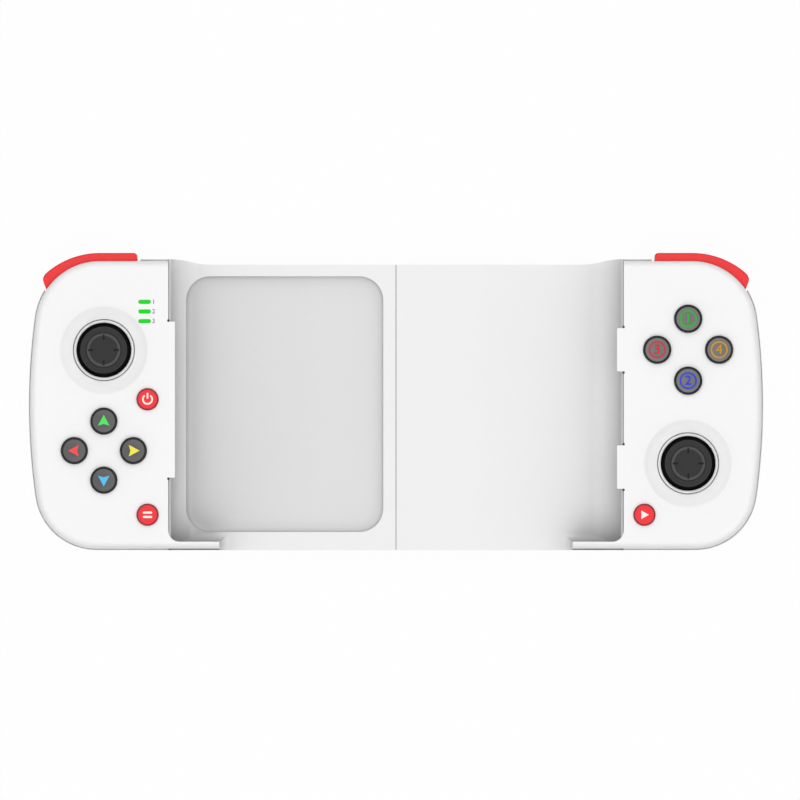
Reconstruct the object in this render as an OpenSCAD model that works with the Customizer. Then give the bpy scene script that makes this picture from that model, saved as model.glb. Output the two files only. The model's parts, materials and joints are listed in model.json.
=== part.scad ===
// Telescopic phone game controller lying on its back with the buttons up, in millimetres.
// X runs along the width, Y towards the shoulder buttons and Z towards the player.
// Both grips are drawn as the right-hand one, and the left-hand one is its mirror image.

/* [Body] */
// Overall width with the grips pushed together
body_w = 202; // [198:1:210]
// Height of a grip from its bottom edge to its top edge
shell_h = 80; // [78:0.5:84]
// Width of a grip from the bay wall to its outer side
grip_w = 38.5; // [38:0.5:41]
// Height of the button face above the table
front_z = 24; // [23.5:0.1:25]
// Height of the parting plane between front and back shell
parting_z = 12.5; // [12.3:0.1:12.6]
// Radius of the bowed outer side of a grip
side_bow_r = 180; // [150:5:260]
// Radius of the upper outer corner in plan
top_corner_r = 18.2; // [17:0.1:19]
// Radius of the lower outer corner in plan
bottom_corner_r = 17; // [15:0.5:20]
// Thickness of the shell walls
wall = 2; // [1.7:0.1:2.2]
// Thickness of the button face
face_t = 2; // [1.8:0.1:2.2]
// Width of the rounding round the button face
front_round_w = 4; // [3:0.25:5]
// Drop of the rounding round the button face
front_round_h = 3.5; // [2.5:0.25:3.5]
// Width of the rounding round the grip's back
back_round_w = 8; // [6:0.5:9]
// Height of the rounding round the grip's back
back_round_h = 10; // [8:0.5:10.2]

/* [Phone bay] */
// Height of the bay floor above the table
bay_floor_z = 12.5; // [12.3:0.1:13]
// Thickness of the bay floor
tray_t = 2.4; // [2.2:0.1:2.5]
// Thickness of the bay's side wall
tray_wall = 1.6; // [1.4:0.1:1.6]
// Radius of the hollow between bay wall and bay floor
bay_fillet_r = 8; // [5:0.5:9]
// Width of the ledge along the bottom edge
ledge_w = 2.4; // [2.2:0.1:3]
// Length of the ledge from the bay wall
ledge_len = 14; // [10:0.5:18]
// Radius of the ledge's inner corner in plan
ledge_corner_r = 3; // [2:0.25:4]
// Radius of the ramp at the ledge's free end
ledge_ramp_r = 3; // [2:0.25:4]
// Thickness of the front shell's strip on the ledge
ledge_cover_t = 3; // [2.5:0.1:3.4]
// Reach of the holding tabs over the bay
tab_reach = 1.8; // [1:0.1:2.5]
// Width of the relief notch at each root of a tab
notch_w = 0.6; // [0.4:0.1:0.8]
// Length of the left grip's tab
left_tab_len = 42.8; // [30:0.2:50]
// Height of the left tab's middle above mid-height
left_tab_y = 1.4; // [-4:0.2:6]
// Length of each right-hand tab
right_tab_len = 11.9; // [8:0.1:16]
// Heights of the right-hand tabs above mid-height
right_tab_y = [15.1, -17.1];
// Drop of the bay's top edge below the grips' top edge
panel_drop = 1.5; // [1:0.1:2]
// Length of the flare that joins the two edges
flare_len = 12; // [9:0.5:15]
// Distance of the left bay's recess from the seam and from the bay wall
recess_side = [3.5, 4.8];
// Distance of the recess from the bay's bottom and top edges
recess_edge = [5.5, 3.2];
// Corner radius of the recess
recess_r = 5.4; // [4:0.2:7]
// Depth of the recess
recess_depth = 1.2; // [0.8:0.1:1.4]
// Gap between the two bay floors at the seam
seam_gap = 0.2; // [0.1:0.05:0.5]

/* [Bridge] */
// Height of the bridge's back above the table
bridge_back_z = 2.5; // [2.3:0.1:2.8]
// Thickness of the bridge's back plate
plate_t = 2; // [1.8:0.1:2.2]
// Distance of the sliding sleeve from the bridge's top and bottom edges
sleeve_edge = 11.25; // [11:0.25:14]
// Thickness of the sleeve's skin
sleeve_wall = 0.8; // [0.6:0.1:1]
// Distance of the sleeve's ends from the left and the right bay wall
sleeve_short = [6.5, 4.5];
// Running gap round the sleeve in the right half
slide_gap = 0.25; // [0.2:0.05:0.3]
// Width of a slide rail
rail_w = 3; // [2:0.25:3.2]
// Outer diameter of the tension springs
spring_d = 3; // [2:0.25:3.2]
// Distance of each tension spring from the bridge's middle
spring_y = 16; // [12:0.5:20]
// Width of the ribbon cable
ribbon_w = 10; // [6:0.5:14]

/* [Sticks] */
// Distance of the stick and pad column from the bay wall
column_dx = 17.7; // [17.4:0.1:18]
// Height of the left stick above mid-height, as a share of half the grip's height
left_stick_rise = 0.375; // [0.36:0.0025:0.39]
// Height of the right stick above mid-height, as a share of half the grip's height
right_stick_rise = -0.4025; // [-0.4125:0.0025:-0.3875]
// Radius of a stick's cap
stick_r = 6.4; // [5.5:0.1:6.8]
// Radius of the opening in the trim ring
ring_hole_r = 7.5; // [7.4:0.1:7.8]
// Outer radius of the trim ring
ring_r = 8.4; // [8.3:0.1:8.7]
// Outer radius of the dish round a stick
dish_r = 12.6; // [10.5:0.1:12.8]
// Depth of the dish round a stick
dish_depth = 1.3; // [0.8:0.1:1.4]
// Radius and depth of the shallow hollow round a stick's dish
stick_hollow = [16, 0.6];
// Radius and depth of the shallow hollow under a group of keys
key_hollow = [15, 0.8];
// Height of the stick pivot above the main board
pivot_h = 3; // [3:0.05:3.2]
// Height of a stick's cap above its pivot
stick_h = 15.2; // [14.8:0.1:16.5]
// Outside width of a stick housing
housing_w = 11.6; // [11.4:0.1:11.8]
// Radius of the dust dome under a stick's cap
dome_r = 10; // [9.9:0.05:10.1]
// Radius of the lever's shaft
lever_r = 1.5; // [1.3:0.05:1.5]
// Radius of the gimbal pins
gimbal_pin_r = 1.2; // [1:0.05:1.2]

/* [Buttons] */
// Height of the direction buttons' middle above mid-height, as a share of half the grip's height
dpad_rise = -0.315; // [-0.325:0.0025:-0.305]
// Distance of a direction button from their middle
dpad_pitch = 8.1; // [7.6:0.1:8.6]
// Radius of a direction button
dpad_r = 3.7; // [3.4:0.05:3.8]
// Height of the face buttons' middle above mid-height, as a share of half the grip's height
face_rise = 0.3775; // [0.365:0.0025:0.385]
// Distance of a face button from their middle
face_pitch = 8.5; // [7.9:0.1:8.6]
// Radius of a face button
face_r = 3.85; // [3.5:0.05:3.95]
// Distance of the small buttons from the bay wall
small_dx = 5.7; // [5.4:0.1:6]
// Height of the power button above mid-height, as a share of half the grip's height
power_rise = 0.0375; // [0:0.0025:0.075]
// Height of the select and start buttons above mid-height, as a share of half the grip's height
menu_rise = -0.755; // [-0.775:0.0025:-0.74]
// Radius of a small button
small_r = 3; // [2.6:0.05:3.1]
// Height of the buttons above the button face
key_proud = 1.2; // [1.2:0.1:1.8]
// Bevel at a button's upper edge
key_bevel = 0.55; // [0.3:0.05:0.8]
// Gap round a button in its hole
key_gap = 0.2; // [0.15:0.05:0.3]
// Reach of a button's flange beyond its cap
flange_lip = 0.9; // [0.7:0.1:1]
// Distance of the indicator windows from the bay wall
lamp_dx = 6.5; // [6:0.1:7]
// Height of the middle indicator window above mid-height, as a share of half the grip's height
lamp_rise = 0.64; // [0.625:0.0025:0.65]
// Pitch, length and width of the indicator windows
lamp_size = [2.65, 3.4, 1.15];

/* [Shoulder] */
// Height of the bumper above the top edge of a grip
bumper_proud = 1.7; // [1.4:0.1:2]
// Plan radius of the bumper's outer corner
bumper_r = 22.5; // [21:0.25:24]
// Distance of the bumper's inner end from the bay wall
shoulder_dx = 8.5; // [8:0.1:9]
// Angle of the bumper's end at its outer edge and at its inner edge
shoulder_end_a = [44.6, 30.5];
// Depth of bumper and trigger inside the outline
shoulder_in = 1.8; // [1.5:0.1:1.9]
// Lower and upper height of the bumper
bumper_z = [12.8, 20.4];
// Lower and upper height of the trigger
trigger_z = [3.6, 12];
// Rounding of the bumper's and trigger's outer edges
shoulder_round = 1.2; // [0.8:0.1:1.4]
// Gap round the bumper and trigger in their windows
shoulder_gap = 0.65; // [0.6:0.05:0.7]
// Radius of the bumper and trigger pins
shoulder_pin_r = 0.75; // [0.6:0.05:0.8]

/* [Electronics] */
// Height of the main board's underside above the table
board_z = 9.4; // [9.3:0.05:9.5]
// Thickness of the main boards
board_t = 1.6; // [1.55:0.05:1.6]
// Width and thickness of the battery
battery_size = [17, 5];
// Distance of the battery's ends from the grip's top and bottom edges
battery_edge = 18; // [17:0.5:20]
// Width, length and thickness of the charging socket
socket_size = [8.9, 7.3, 3.2];

/* [Fastening] */
// Radius of the screw bosses in the front shell
boss_r = 2.6; // [2.4:0.1:2.7]
// Height of the seat where front and back bosses meet
boss_seat_z = 5; // [4.6:0.1:5.2]
// Radius and height of a screw head
head_size = [2, 1.4];
// Radius of a screw's shank
shank_r = 0.95; // [0.8:0.05:0.95]
// Gap left between pieces that fit into each other
fit = 0.05; // [0.03:0.01:0.1]

/* [Hidden] */
$fn = 48;
corner_n = 16;
side_n = 8;
front_n = 6;
back_n = 8;
half_h = shell_h / 2;
outer_x = body_w / 2;
bay_half = outer_x - grip_w;
frame_dy = -bumper_proud / 2;
side_c = [outer_x - side_bow_r, 0];
top_cy = half_h - top_corner_r;
bottom_cy = bottom_corner_r - half_h;
top_c = [side_c.x + sqrt(pow(side_bow_r - top_corner_r, 2) - top_cy * top_cy), top_cy];
bottom_c = [side_c.x + sqrt(pow(side_bow_r - bottom_corner_r, 2) - bottom_cy * bottom_cy), bottom_cy];
top_a = atan2(top_c.y, top_c.x - side_c.x);
bottom_a = atan2(bottom_c.y, bottom_c.x - side_c.x);
plate_top_z = front_z - face_t;
tray_z = bay_floor_z - tray_t;
ledge_y = ledge_w - half_h;
ledge_x = bay_half - ledge_len;
ledge_z = front_z - ledge_cover_t;
panel_y = half_h - panel_drop;
bridge_y = -panel_drop / 2;
sleeve_w = shell_h - panel_drop - 2 * sleeve_edge;
sleeve_reach = [bay_half - sleeve_short[0], bay_half - sleeve_short[1]];
peg = [sleeve_reach[0] - 16, sleeve_w / 2 - 6];
ribbon_x = [14, sleeve_reach[1] - 14];
recess_x = [recess_side[0], bay_half - recess_side[1]];
recess_y = [recess_edge[0] - half_h, panel_y - recess_edge[1]];
sleeve_z = [bridge_back_z + plate_t, tray_z - slide_gap];
sleeve_mid_z = (sleeve_z[0] + sleeve_z[1]) / 2;
plate_z_right = sleeve_z[0] - slide_gap;
anchor_r = 1.2;
anchor_x = [4 - sleeve_reach[0], sleeve_reach[1] + 3];
column_x = bay_half + column_dx;
left_stick_y = half_h * left_stick_rise;
right_stick_y = half_h * right_stick_rise;
dpad_y = half_h * dpad_rise;
face_y = half_h * face_rise;
power_y = half_h * power_rise;
menu_y = half_h * menu_rise;
lamp_y = half_h * lamp_rise;
battery_len = shell_h - 2 * battery_edge;
small_x = bay_half + small_dx;
left_tabs = [[left_tab_y - left_tab_len / 2, left_tab_y + left_tab_len / 2]];
right_tabs = [for (y = right_tab_y) [y - right_tab_len / 2, y + right_tab_len / 2]];
arch_r = housing_w / 2 - 1.1;
cradle_half = arch_r - 1.5;
board_top_z = board_z + board_t;
pivot_z = board_top_z + pivot_h;
ring_seat_z = plate_top_z - 1.4;
key_top_z = front_z + key_proud;
flange_z = [plate_top_z - 1.1, plate_top_z - 0.1];
dome_top_z = board_top_z + 3;
plunger_z = dome_top_z + 0.1;
shoulder_x = bay_half + shoulder_dx;
shoulder_c = [top_c.x, half_h + bumper_proud - bumper_r];
bumper_pin = [shoulder_x + 2.3, half_h - 5];
trigger_pin = [half_h - 4, trigger_z[1] - 1.8];
bracket_x = [shoulder_x - 0.5, shoulder_x + 11.2];
lug_x = [shoulder_x + 1.3, shoulder_x + 8.3];
finger_x = [column_x + 7.8, shoulder_x + 6.1];
switch_y = half_h - 11.6;
screws = [
    [outer_x - 7.5, 0],
    [outer_x - 10, 13 - half_h],
    [bay_half + 5.1, half_h - 6],
    [bay_half + 5, (dpad_y + menu_y) / 2 + 0.4]
];
bridge_screws = [[6, bridge_y + sleeve_w / 2 + 5.7], [6, bridge_y - sleeve_w / 2 - 5.7]];
posts = [
    [outer_x - 6.5, 8],
    [bay_half + 4.3, 8],
    [outer_x - 11, 7 - half_h],
    [bay_half + 8.5, 5 - half_h]
];
pad_dirs = [[0, 1], [0, -1], [-1, 0], [1, 0]];
dpad_keys = [for (d = pad_dirs) [column_x + dpad_pitch * d.x, dpad_y + dpad_pitch * d.y]];
face_keys = [for (d = pad_dirs) [column_x + face_pitch * d.x, face_y + face_pitch * d.y]];
left_small = [[small_x, power_y], [small_x, menu_y]];
right_small = [[small_x, menu_y]];
lamps = [for (i = [-1, 0, 1]) [bay_half + lamp_dx, lamp_y + i * lamp_size[0]]];

// Points of an arc about c from angle a0 to a1 in n steps.
function arc(c, r, a0, a1, n) =
    [for (i = [0:n]) let (a = a0 + (a1 - a0) * i / n) c + r * [cos(a), sin(a)]];

// Plan outline of a grip, moved inwards by inset, with its bay side at bay_x.
function grip_outline(inset, bay_x) = concat(
    [[bay_x, inset - half_h]],
    arc(bottom_c, bottom_corner_r - inset, -90, bottom_a, corner_n),
    [for (i = [1:side_n - 1])
        let (a = bottom_a + (top_a - bottom_a) * i / side_n)
        side_c + (side_bow_r - inset) * [cos(a), sin(a)]],
    arc(top_c, top_corner_r - inset, top_a, 90, corner_n),
    [[bay_x, half_h - inset]]
);

// One ring of a grip's skin at height z.
function grip_ring(z, inset, bay_x) = [for (p = grip_outline(inset, bay_x)) [p.x, p.y, z]];

// Bay side of the back at height z, rounded off below the bridge.
function back_bay_x(z) =
    let (s = max(0, 1 - z / bridge_back_z))
    bay_half + bridge_back_z * (1 - sqrt(1 - s * s));

// Rings of the front shell, moved inwards by t, with its face at top_z.
function front_rings(t, base_z, top_z, bay_x) = concat(
    [grip_ring(base_z, t, bay_x)],
    [for (i = [0:front_n])
        let (a = 90 * i / front_n)
        grip_ring(top_z - front_round_h * (1 - sin(a)), t + front_round_w * (1 - cos(a)), bay_x)]
);

// Points of the shoulder band: an inner and an outer point at each station from the bay end.
function shoulder_path() = concat(
    [for (x = [shoulder_x, (shoulder_x + top_c.x) / 2])
        [[x, half_h - shoulder_in], [x, half_h + bumper_proud]]],
    [for (i = [0:corner_n])
        let (ao = 90 - (90 - shoulder_end_a[0]) * i / corner_n)
        let (ai = 90 - (90 - shoulder_end_a[1]) * i / corner_n)
        [
            top_c + (top_corner_r - shoulder_in) * [cos(ai), sin(ai)],
            shoulder_c + bumper_r * [cos(ao), sin(ao)]
        ]]
);

// The same stations reaching further in and out, with both ends moved away by the gap.
function window_path(deeper) =
    let (path = shoulder_path(), last = len(path) - 1)
    [for (i = [0:last])
        let (across = (path[i][1] - path[i][0]) / norm(path[i][1] - path[i][0]))
        let (ahead = i == 0 ? [-1, 0] : i == last ? [across.y, -across.x] : [0, 0])
        [
            path[i][0] - deeper * across + shoulder_gap * ahead,
            path[i][1] + 4 * across + shoulder_gap * ahead
        ]];

// Rings along the shoulder band for a section given as [share from inside to outside, height].
function shoulder_rings(path, section) = [for (p = path)
    [for (s = section) let (q = p[0] + s[0] * (p[1] - p[0])) [q.x, q.y, s[1]]]];

// Section of the bumper or trigger with rounded outer edges.
function shoulder_section(z) =
    let (r = shoulder_round, u = shoulder_round / (bumper_proud + shoulder_in))
    concat(
        [[0, z[0]]],
        [for (a = [-90:30:0]) [1 - u + u * cos(a), z[0] + r + r * sin(a)]],
        [for (a = [0:30:90]) [1 - u + u * cos(a), z[1] - r + r * sin(a)]],
        [[0, z[1]]]
    );

// Closed skin through a list of rings with the same number of points.
module skin(rings) {
    n = len(rings[0]);
    m = len(rings);
    polyhedron(
        points = [for (ring = rings) each ring],
        faces = concat(
            [[for (i = [0:n - 1]) i]],
            [[for (i = [n - 1:-1:0]) (m - 1) * n + i]],
            [for (k = [0:m - 2], i = [0:n - 1])
                let (a = k * n + i, b = k * n + (i + 1) % n)
                each [[a, a + n, b + n], [a, b + n, b]]]
        )
    );
}

// Box between two corners.
module box(a, b) {
    translate(a)
        cube(b - a);
}

// Upright cylinder between two heights.
module rod(p, r, z0, z1) {
    translate([p.x, p.y, z0])
        cylinder(r = r, h = z1 - z0);
}

// Cylinder along X through the point [y, z].
module rod_x(p, r, x0, x1) {
    translate([x0, p.x, p.y])
        rotate([0, 90, 0])
            cylinder(r = r, h = x1 - x0);
}

// Cylinder along Y through the point [x, z].
module rod_y(p, r, y0, y1) {
    translate([p.x, y1, p.y])
        rotate([90, 0, 0])
            cylinder(r = r, h = y1 - y0);
}

// Drawing in Y and Z pulled out along X.
module along_x(x0, x1) {
    translate([x0, 0, 0])
        rotate([90, 0, 90])
            linear_extrude(height = x1 - x0)
                children();
}

// Drawing in X and Z pulled out along Y.
module along_y(y0, y1) {
    translate([0, y1, 0])
        rotate([90, 0, 0])
            linear_extrude(height = y1 - y0)
                children();
}

// Moves the model so that its bounding box is centred on the origin.
module placed() {
    translate([0, frame_dy, 0])
        children();
}

// The right-hand shape drawn on the left.
module left_side() {
    mirror([1, 0, 0])
        children();
}

// Dish round a stick, as the material it takes away.
module stick_dish(p) {
    translate([p.x, p.y, front_z - dish_depth])
        rotate_extrude()
            polygon(concat(
                [[0, 0], [ring_r, 0]],
                [for (i = [1:6])
                    let (s = i / 6)
                    [ring_r + (dish_r - ring_r) * s, dish_depth * s * (0.75 + 0.25 * s)]],
                [[dish_r, dish_depth + 1], [0, dish_depth + 1]]
            ));
}

// Shallow hollow in the button face, as the ball it is cut with.
module face_hollow(p, size) {
    bow = (size[0] * size[0] + size[1] * size[1]) / (2 * size[1]);
    translate([p.x, p.y, front_z - size[1] + bow])
        sphere(r = bow, $fn = 180);
}

// Rounded strip of the front shell on the ledge.
module ledge_cover() {
    start_a = asin((front_round_h - ledge_cover_t) / front_round_h);
    end_a = acos(1 - ledge_w / front_round_w);
    along_x(ledge_x, bay_half + 0.5)
        polygon(concat(
            [[ledge_y, ledge_z], [-half_h, ledge_z]],
            [for (i = [0:6])
                let (a = start_a + (end_a - start_a) * i / 6)
                [front_round_w * (1 - cos(a)) - half_h, front_z - front_round_h * (1 - sin(a))]]
        ));
    corner_top = front_z - front_round_h * (1 - sin(end_a));
    translate([0, 0, ledge_z])
        linear_extrude(height = corner_top - ledge_z)
            ledge_corner();
}

// Hollow corner between ledge and bay wall in plan.
module ledge_corner() {
    c = [bay_half - ledge_corner_r, ledge_y + ledge_corner_r];
    polygon(concat(
        [[bay_half + 0.5, ledge_y - 0.5], [bay_half + 0.5, c.y]],
        arc(c, ledge_corner_r, 0, -90, 8),
        [[c.x, ledge_y - 0.5]]
    ));
}

// Holding tab with a softened front edge, from y0 to y1.
module tab(y0, y1) {
    along_y(y0, y1)
        polygon([
            [bay_half + 0.5, plate_top_z],
            [bay_half + 0.5, front_z],
            [bay_half - tab_reach + 0.5, front_z],
            [bay_half - tab_reach, front_z - 0.5],
            [bay_half - tab_reach, plate_top_z]
        ]);
}

// Relief notches at both roots of a tab, down into the bay wall.
module tab_notches(tabs) {
    for (t = tabs, y = [t[0] - notch_w, t[1]])
        box(
            [bay_half - 0.4, y, bay_floor_z + bay_fillet_r - 3],
            [bay_half + 0.5, y + notch_w, front_z + 1]
        );
}

// Hole for a button, with room for its flange under the button face.
module key_hole(p, r) {
    rod(p, r + key_gap, plate_top_z - 1, front_z + 1);
    rod(p, r + flange_lip + key_gap, flange_z[0] - 1.2, plate_top_z);
}

// Front shell of a grip with its stick, keys and tabs.
module front_shell(stick_y, keys, key_r, small, tabs) {
    stick_p = [column_x, stick_y];
    difference() {
        union() {
            difference() {
                skin(front_rings(0, parting_z, front_z, bay_half));
                skin(front_rings(wall, parting_z - 1, plate_top_z, bay_half - 1));
                skin(shoulder_rings(
                    window_path(1.4),
                    [
                        [0, parting_z - 1],
                        [1, parting_z - 1],
                        [1, bumper_z[1] + 0.35],
                        [0, bumper_z[1] + 0.35]
                    ]
                ));
            }
            ledge_cover();
            for (t = tabs)
                tab(t[0], t[1]);
            rod(stick_p, dish_r + 0.6, ring_seat_z, plate_top_z + 0.5);
            for (p = screws)
                rod(p, boss_r, boss_seat_z, plate_top_z + 0.5);
            rod(bumper_pin, 1.9, bumper_z[1] + 0.3, plate_top_z + 0.5);
        }
        box(
            [bay_half, wall - half_h, parting_z - 1],
            [bay_half + tray_wall + 0.2, half_h - wall, plate_top_z]
        );
        face_hollow((keys[0] + keys[1] + keys[2] + keys[3]) / 4, key_hollow);
        face_hollow(stick_p, stick_hollow);
        stick_dish(stick_p);
        rod(stick_p, ring_r + fit, ring_seat_z - 1, front_z + 1);
        for (p = keys)
            key_hole(p, key_r);
        for (p = small)
            key_hole(p, small_r);
        for (p = screws)
            rod(p, shank_r + fit, boss_seat_z - 1, 17);
        tab_notches(tabs);
        rod(bumper_pin, shoulder_pin_r + fit, bumper_z[1] - 1, bumper_z[1] + 1.4);
    }
}

// Section of the bridge's back shell with rounded lower edges.
module bridge_section() {
    r = 2.5;
    polygon(concat(
        [[panel_y, tray_z], [-half_h, tray_z]],
        arc([r - half_h, bridge_back_z + r], r, 180, 270, 8),
        arc([panel_y - r, bridge_back_z + r], r, 270, 360, 8)
    ));
}

// Flare between the bay's top edge and the grip's top edge in plan.
module flare() {
    r = (pow(flare_len / 2, 2) + pow(panel_drop / 2, 2)) / panel_drop;
    a = asin(flare_len / 2 / r);
    polygon(concat(
        [[bay_half, panel_y - 1], [bay_half - flare_len, panel_y - 1]],
        arc([bay_half - flare_len, panel_y + r], r, 270, 270 + a, 8),
        arc([bay_half, half_h - r], r, 90 + a, 90, 8)
    ));
}

// Back shell of one half; inner_z is the inside of the bridge's plate.
module back_shell(inner_z) {
    difference() {
        union() {
            difference() {
                union() {
                    skin(concat(
                        [for (i = [0:back_n])
                            let (a = 90 * i / back_n, z = back_round_h * (1 - cos(a)))
                            grip_ring(z, back_round_w * (1 - sin(a)), back_bay_x(z))],
                        [grip_ring(parting_z, 0, bay_half)]
                    ));
                    along_x(seam_gap / 2, bay_half + 5)
                        bridge_section();
                    translate([0, 0, bridge_back_z + 2.5])
                        linear_extrude(height = tray_z - bridge_back_z - 2.5)
                            flare();
                }
                skin(concat(
                    [for (i = [0:2:back_n])
                        let (a = 90 * i / back_n)
                        grip_ring(
                            wall + back_round_h * (1 - cos(a)),
                            wall + back_round_w * (1 - sin(a)),
                            bay_half + wall
                        )],
                    [grip_ring(parting_z + 1, wall, bay_half + wall)]
                ));
                box([-1, wall - half_h, inner_z], [bay_half + 3.5, panel_y - wall, tray_z + 1]);
                box(
                    [bay_half - 1, wall - half_h, tray_z - fit],
                    [bay_half + 3.5, half_h - wall, parting_z + 1]
                );
                for (p = screws)
                    rod(p, boss_r + 0.2, boss_seat_z - 1, parting_z + 1);
                skin(shoulder_rings(
                    window_path(2.7),
                    [
                        [0, trigger_z[0] - 1.2],
                        [1, trigger_z[0] - 1.2],
                        [1, parting_z + 1],
                        [0, parting_z + 1]
                    ]
                ));
            }
            for (p = screws)
                rod(p, 3.6, 1, boss_seat_z);
            for (p = posts)
                rod(p, 1.5, 1.5, board_z);
            for (x = bracket_x) {
                box(
                    [x, trigger_pin.x - 3, 1.5],
                    [x + 1.4, trigger_pin.x - 0.5, trigger_pin.y + 1]
                );
                rod_x(trigger_pin, 1.6, x, x + 1.4);
            }
        }
        for (p = screws) {
            rod(p, shank_r + 0.25, -1, boss_seat_z + 1);
            rod(p, head_size[0] + 0.2, -1, boss_seat_z - 2);
        }
        for (p = bridge_screws) {
            rod(p, shank_r + 0.25, bridge_back_z - 1, inner_z + 1);
            rod(p, head_size[0] + 0.2, bridge_back_z - 1, bridge_back_z + 1);
        }
        rod_x(
            trigger_pin,
            shoulder_pin_r + fit,
            bracket_x[0] - 1,
            bracket_x[1] + 2
        );
    }
}

// Bay tray with floor, hollow side wall, ledge and bridge bosses.
module bay_tray(boss_z, tabs) {
    fillet_c = [bay_half - bay_fillet_r, bay_floor_z + bay_fillet_r];
    ramp_c = [ledge_x - ledge_ramp_r, bay_floor_z + ledge_ramp_r];
    difference() {
        union() {
            intersection() {
                translate([0, 0, tray_z])
                    linear_extrude(height = plate_top_z - tray_z) {
                        translate([seam_gap / 2, -half_h])
                            square([bay_half - seam_gap / 2, panel_y + half_h]);
                        flare();
                        translate([bay_half - 0.5, wall + fit - half_h])
                            square([tray_wall + 0.5, shell_h - 2 * wall - 2 * fit]);
                    }
                along_y(-half_h - 1, half_h + 1)
                    polygon(concat(
                        [
                            [-1, tray_z - 1],
                            [bay_half + tray_wall + 1, tray_z - 1],
                            [bay_half + tray_wall + 1, plate_top_z + 1],
                            [bay_half, plate_top_z + 1]
                        ],
                        arc(fillet_c, bay_fillet_r, 0, -90, 12),
                        [[-1, bay_floor_z]]
                    ));
            }
            along_y(-half_h, ledge_y)
                polygon(concat(
                    [[ramp_c.x, tray_z]],
                    arc(ramp_c, ledge_ramp_r, -90, 0, 8),
                    [[ledge_x, ledge_z], [bay_half, ledge_z], [bay_half, tray_z]]
                ));
            along_x(ledge_x, bay_half)
                polygon(concat(
                    [[ledge_y - 0.5, bay_floor_z - 0.5], [ledge_y + 2.5, bay_floor_z - 0.5]],
                    arc([ledge_y + 2.5, bay_floor_z + 2.5], 2.5, -90, -180, 6),
                    [[ledge_y - 0.5, bay_floor_z + 2.5]]
                ));
            translate([0, 0, bay_floor_z - 0.5])
                linear_extrude(height = ledge_z - bay_floor_z + 0.5)
                    intersection() {
                        ledge_corner();
                        translate([0, -half_h])
                            square([bay_half, shell_h]);
                    }
            for (p = bridge_screws)
                rod(p, 2.1, boss_z, tray_z + 0.5);
        }
        for (p = bridge_screws)
            rod(p, shank_r + fit, boss_z - 1, tray_z - 0.4);
        tab_notches(tabs);
    }
}

// Board of one grip.
module main_board() {
    translate([0, 0, board_z])
        linear_extrude(height = board_t)
            difference() {
                intersection() {
                    polygon(grip_outline(3.2, bay_half + 2.5));
                    translate([bay_half, -half_h])
                        square([outer_x, half_h + switch_y + 0.1]);
                }
                for (p = screws)
                    translate(p)
                        circle(r = boss_r + 0.4);
            }
}

// Silicone dome of one key.
module key_dome(p) {
    translate([p.x, p.y, board_top_z])
        rotate_extrude()
            polygon([
                [1.6, 0], [3.7, 0], [3.7, 0.8], [3, 0.8], [2.2, 2.4],
                [2.2, 3], [0, 3], [0, 1.4], [1.2, 1.4]
            ]);
}

// Silicone sheet with the domes of one pad, and the separate domes of the small buttons.
module keypad(mid, keys, small) {
    for (p = concat(keys, small))
        key_dome(p);
    w = 2.4;
    translate([mid.x, mid.y, board_top_z])
        linear_extrude(height = 0.8)
            difference() {
                union() {
                    square([2 * (keys[3].x - mid.x) - 7, w], center = true);
                    square([w, 2 * (keys[0].y - mid.y) - 7], center = true);
                }
                circle(r = 0.6);
            }
}

// Round button with bevel, flange and plunger.
module round_key(p, r) {
    translate([p.x, p.y, 0])
        rotate_extrude()
            polygon([
                [0, plunger_z], [1.9, plunger_z], [1.9, flange_z[0]],
                [r + flange_lip, flange_z[0]], [r + flange_lip, flange_z[1]], [r, flange_z[1]],
                [r, key_top_z - key_bevel], [r - key_bevel, key_top_z], [0, key_top_z]
            ]);
}

// Trim ring in the floor of a stick's dish.
module stick_ring(p) {
    top = front_z - dish_depth + 0.1;
    translate([p.x, p.y, 0])
        rotate_extrude()
            polygon([
                [ring_hole_r + 0.25, top], [ring_r - 0.25, top], [ring_r, top - 0.25],
                [ring_r, ring_seat_z], [ring_r + 1.2, ring_seat_z],
                [ring_r + 1.2, ring_seat_z - 0.8], [ring_hole_r + 1.1, ring_seat_z - 0.8],
                [ring_hole_r, ring_seat_z + 0.8], [ring_hole_r, top - 0.25]
            ]);
}

// Moves a piece drawn about the stick pivot to its place.
module at_pivot(y) {
    translate([column_x, y, pivot_z])
        children();
}

// Open stick housing with sensor blocks on two sides.
module stick_housing() {
    w = housing_w / 2;
    bore = gimbal_pin_r + fit;
    difference() {
        union() {
            box([-w, -w, -pivot_h], [w, w, 3.5]);
            box([w - 0.5, -3.5, -pivot_h], [w + 1.6, 3.5, 2.4]);
            box([-3.5, w - 0.5, -pivot_h], [3.5, w + 1.6, 2.4]);
        }
        box([0.8 - w, 0.8 - w, 0.8 - pivot_h], [w - 0.8, w - 0.8, 4]);
        rod_x([0, 0], bore, -w - 1, w + 2);
        rod_y([0, 0], bore, -w - 1, w + 2);
    }
}

// Frame that tilts about X in the housing and carries the lever.
module stick_cradle() {
    difference() {
        union() {
            box([-cradle_half, -cradle_half, -1.2], [cradle_half, cradle_half, 1.2]);
            rod_x([0, 0], gimbal_pin_r, -housing_w / 2 + 0.1, housing_w / 2 + 1.4);
        }
        box([1 - cradle_half, 1 - cradle_half, -2], [cradle_half - 1, cradle_half - 1, 2]);
        rod_y([0, 0], 0.7 + fit, -cradle_half - 1, cradle_half + 1);
    }
}

// Lever that tilts about Y in the cradle.
module stick_lever() {
    rod([0, 0], lever_r, -1.3, 9.4);
    rod_y([0, 0], 0.7, 0.1 - cradle_half, cradle_half - 0.1);
}

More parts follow.
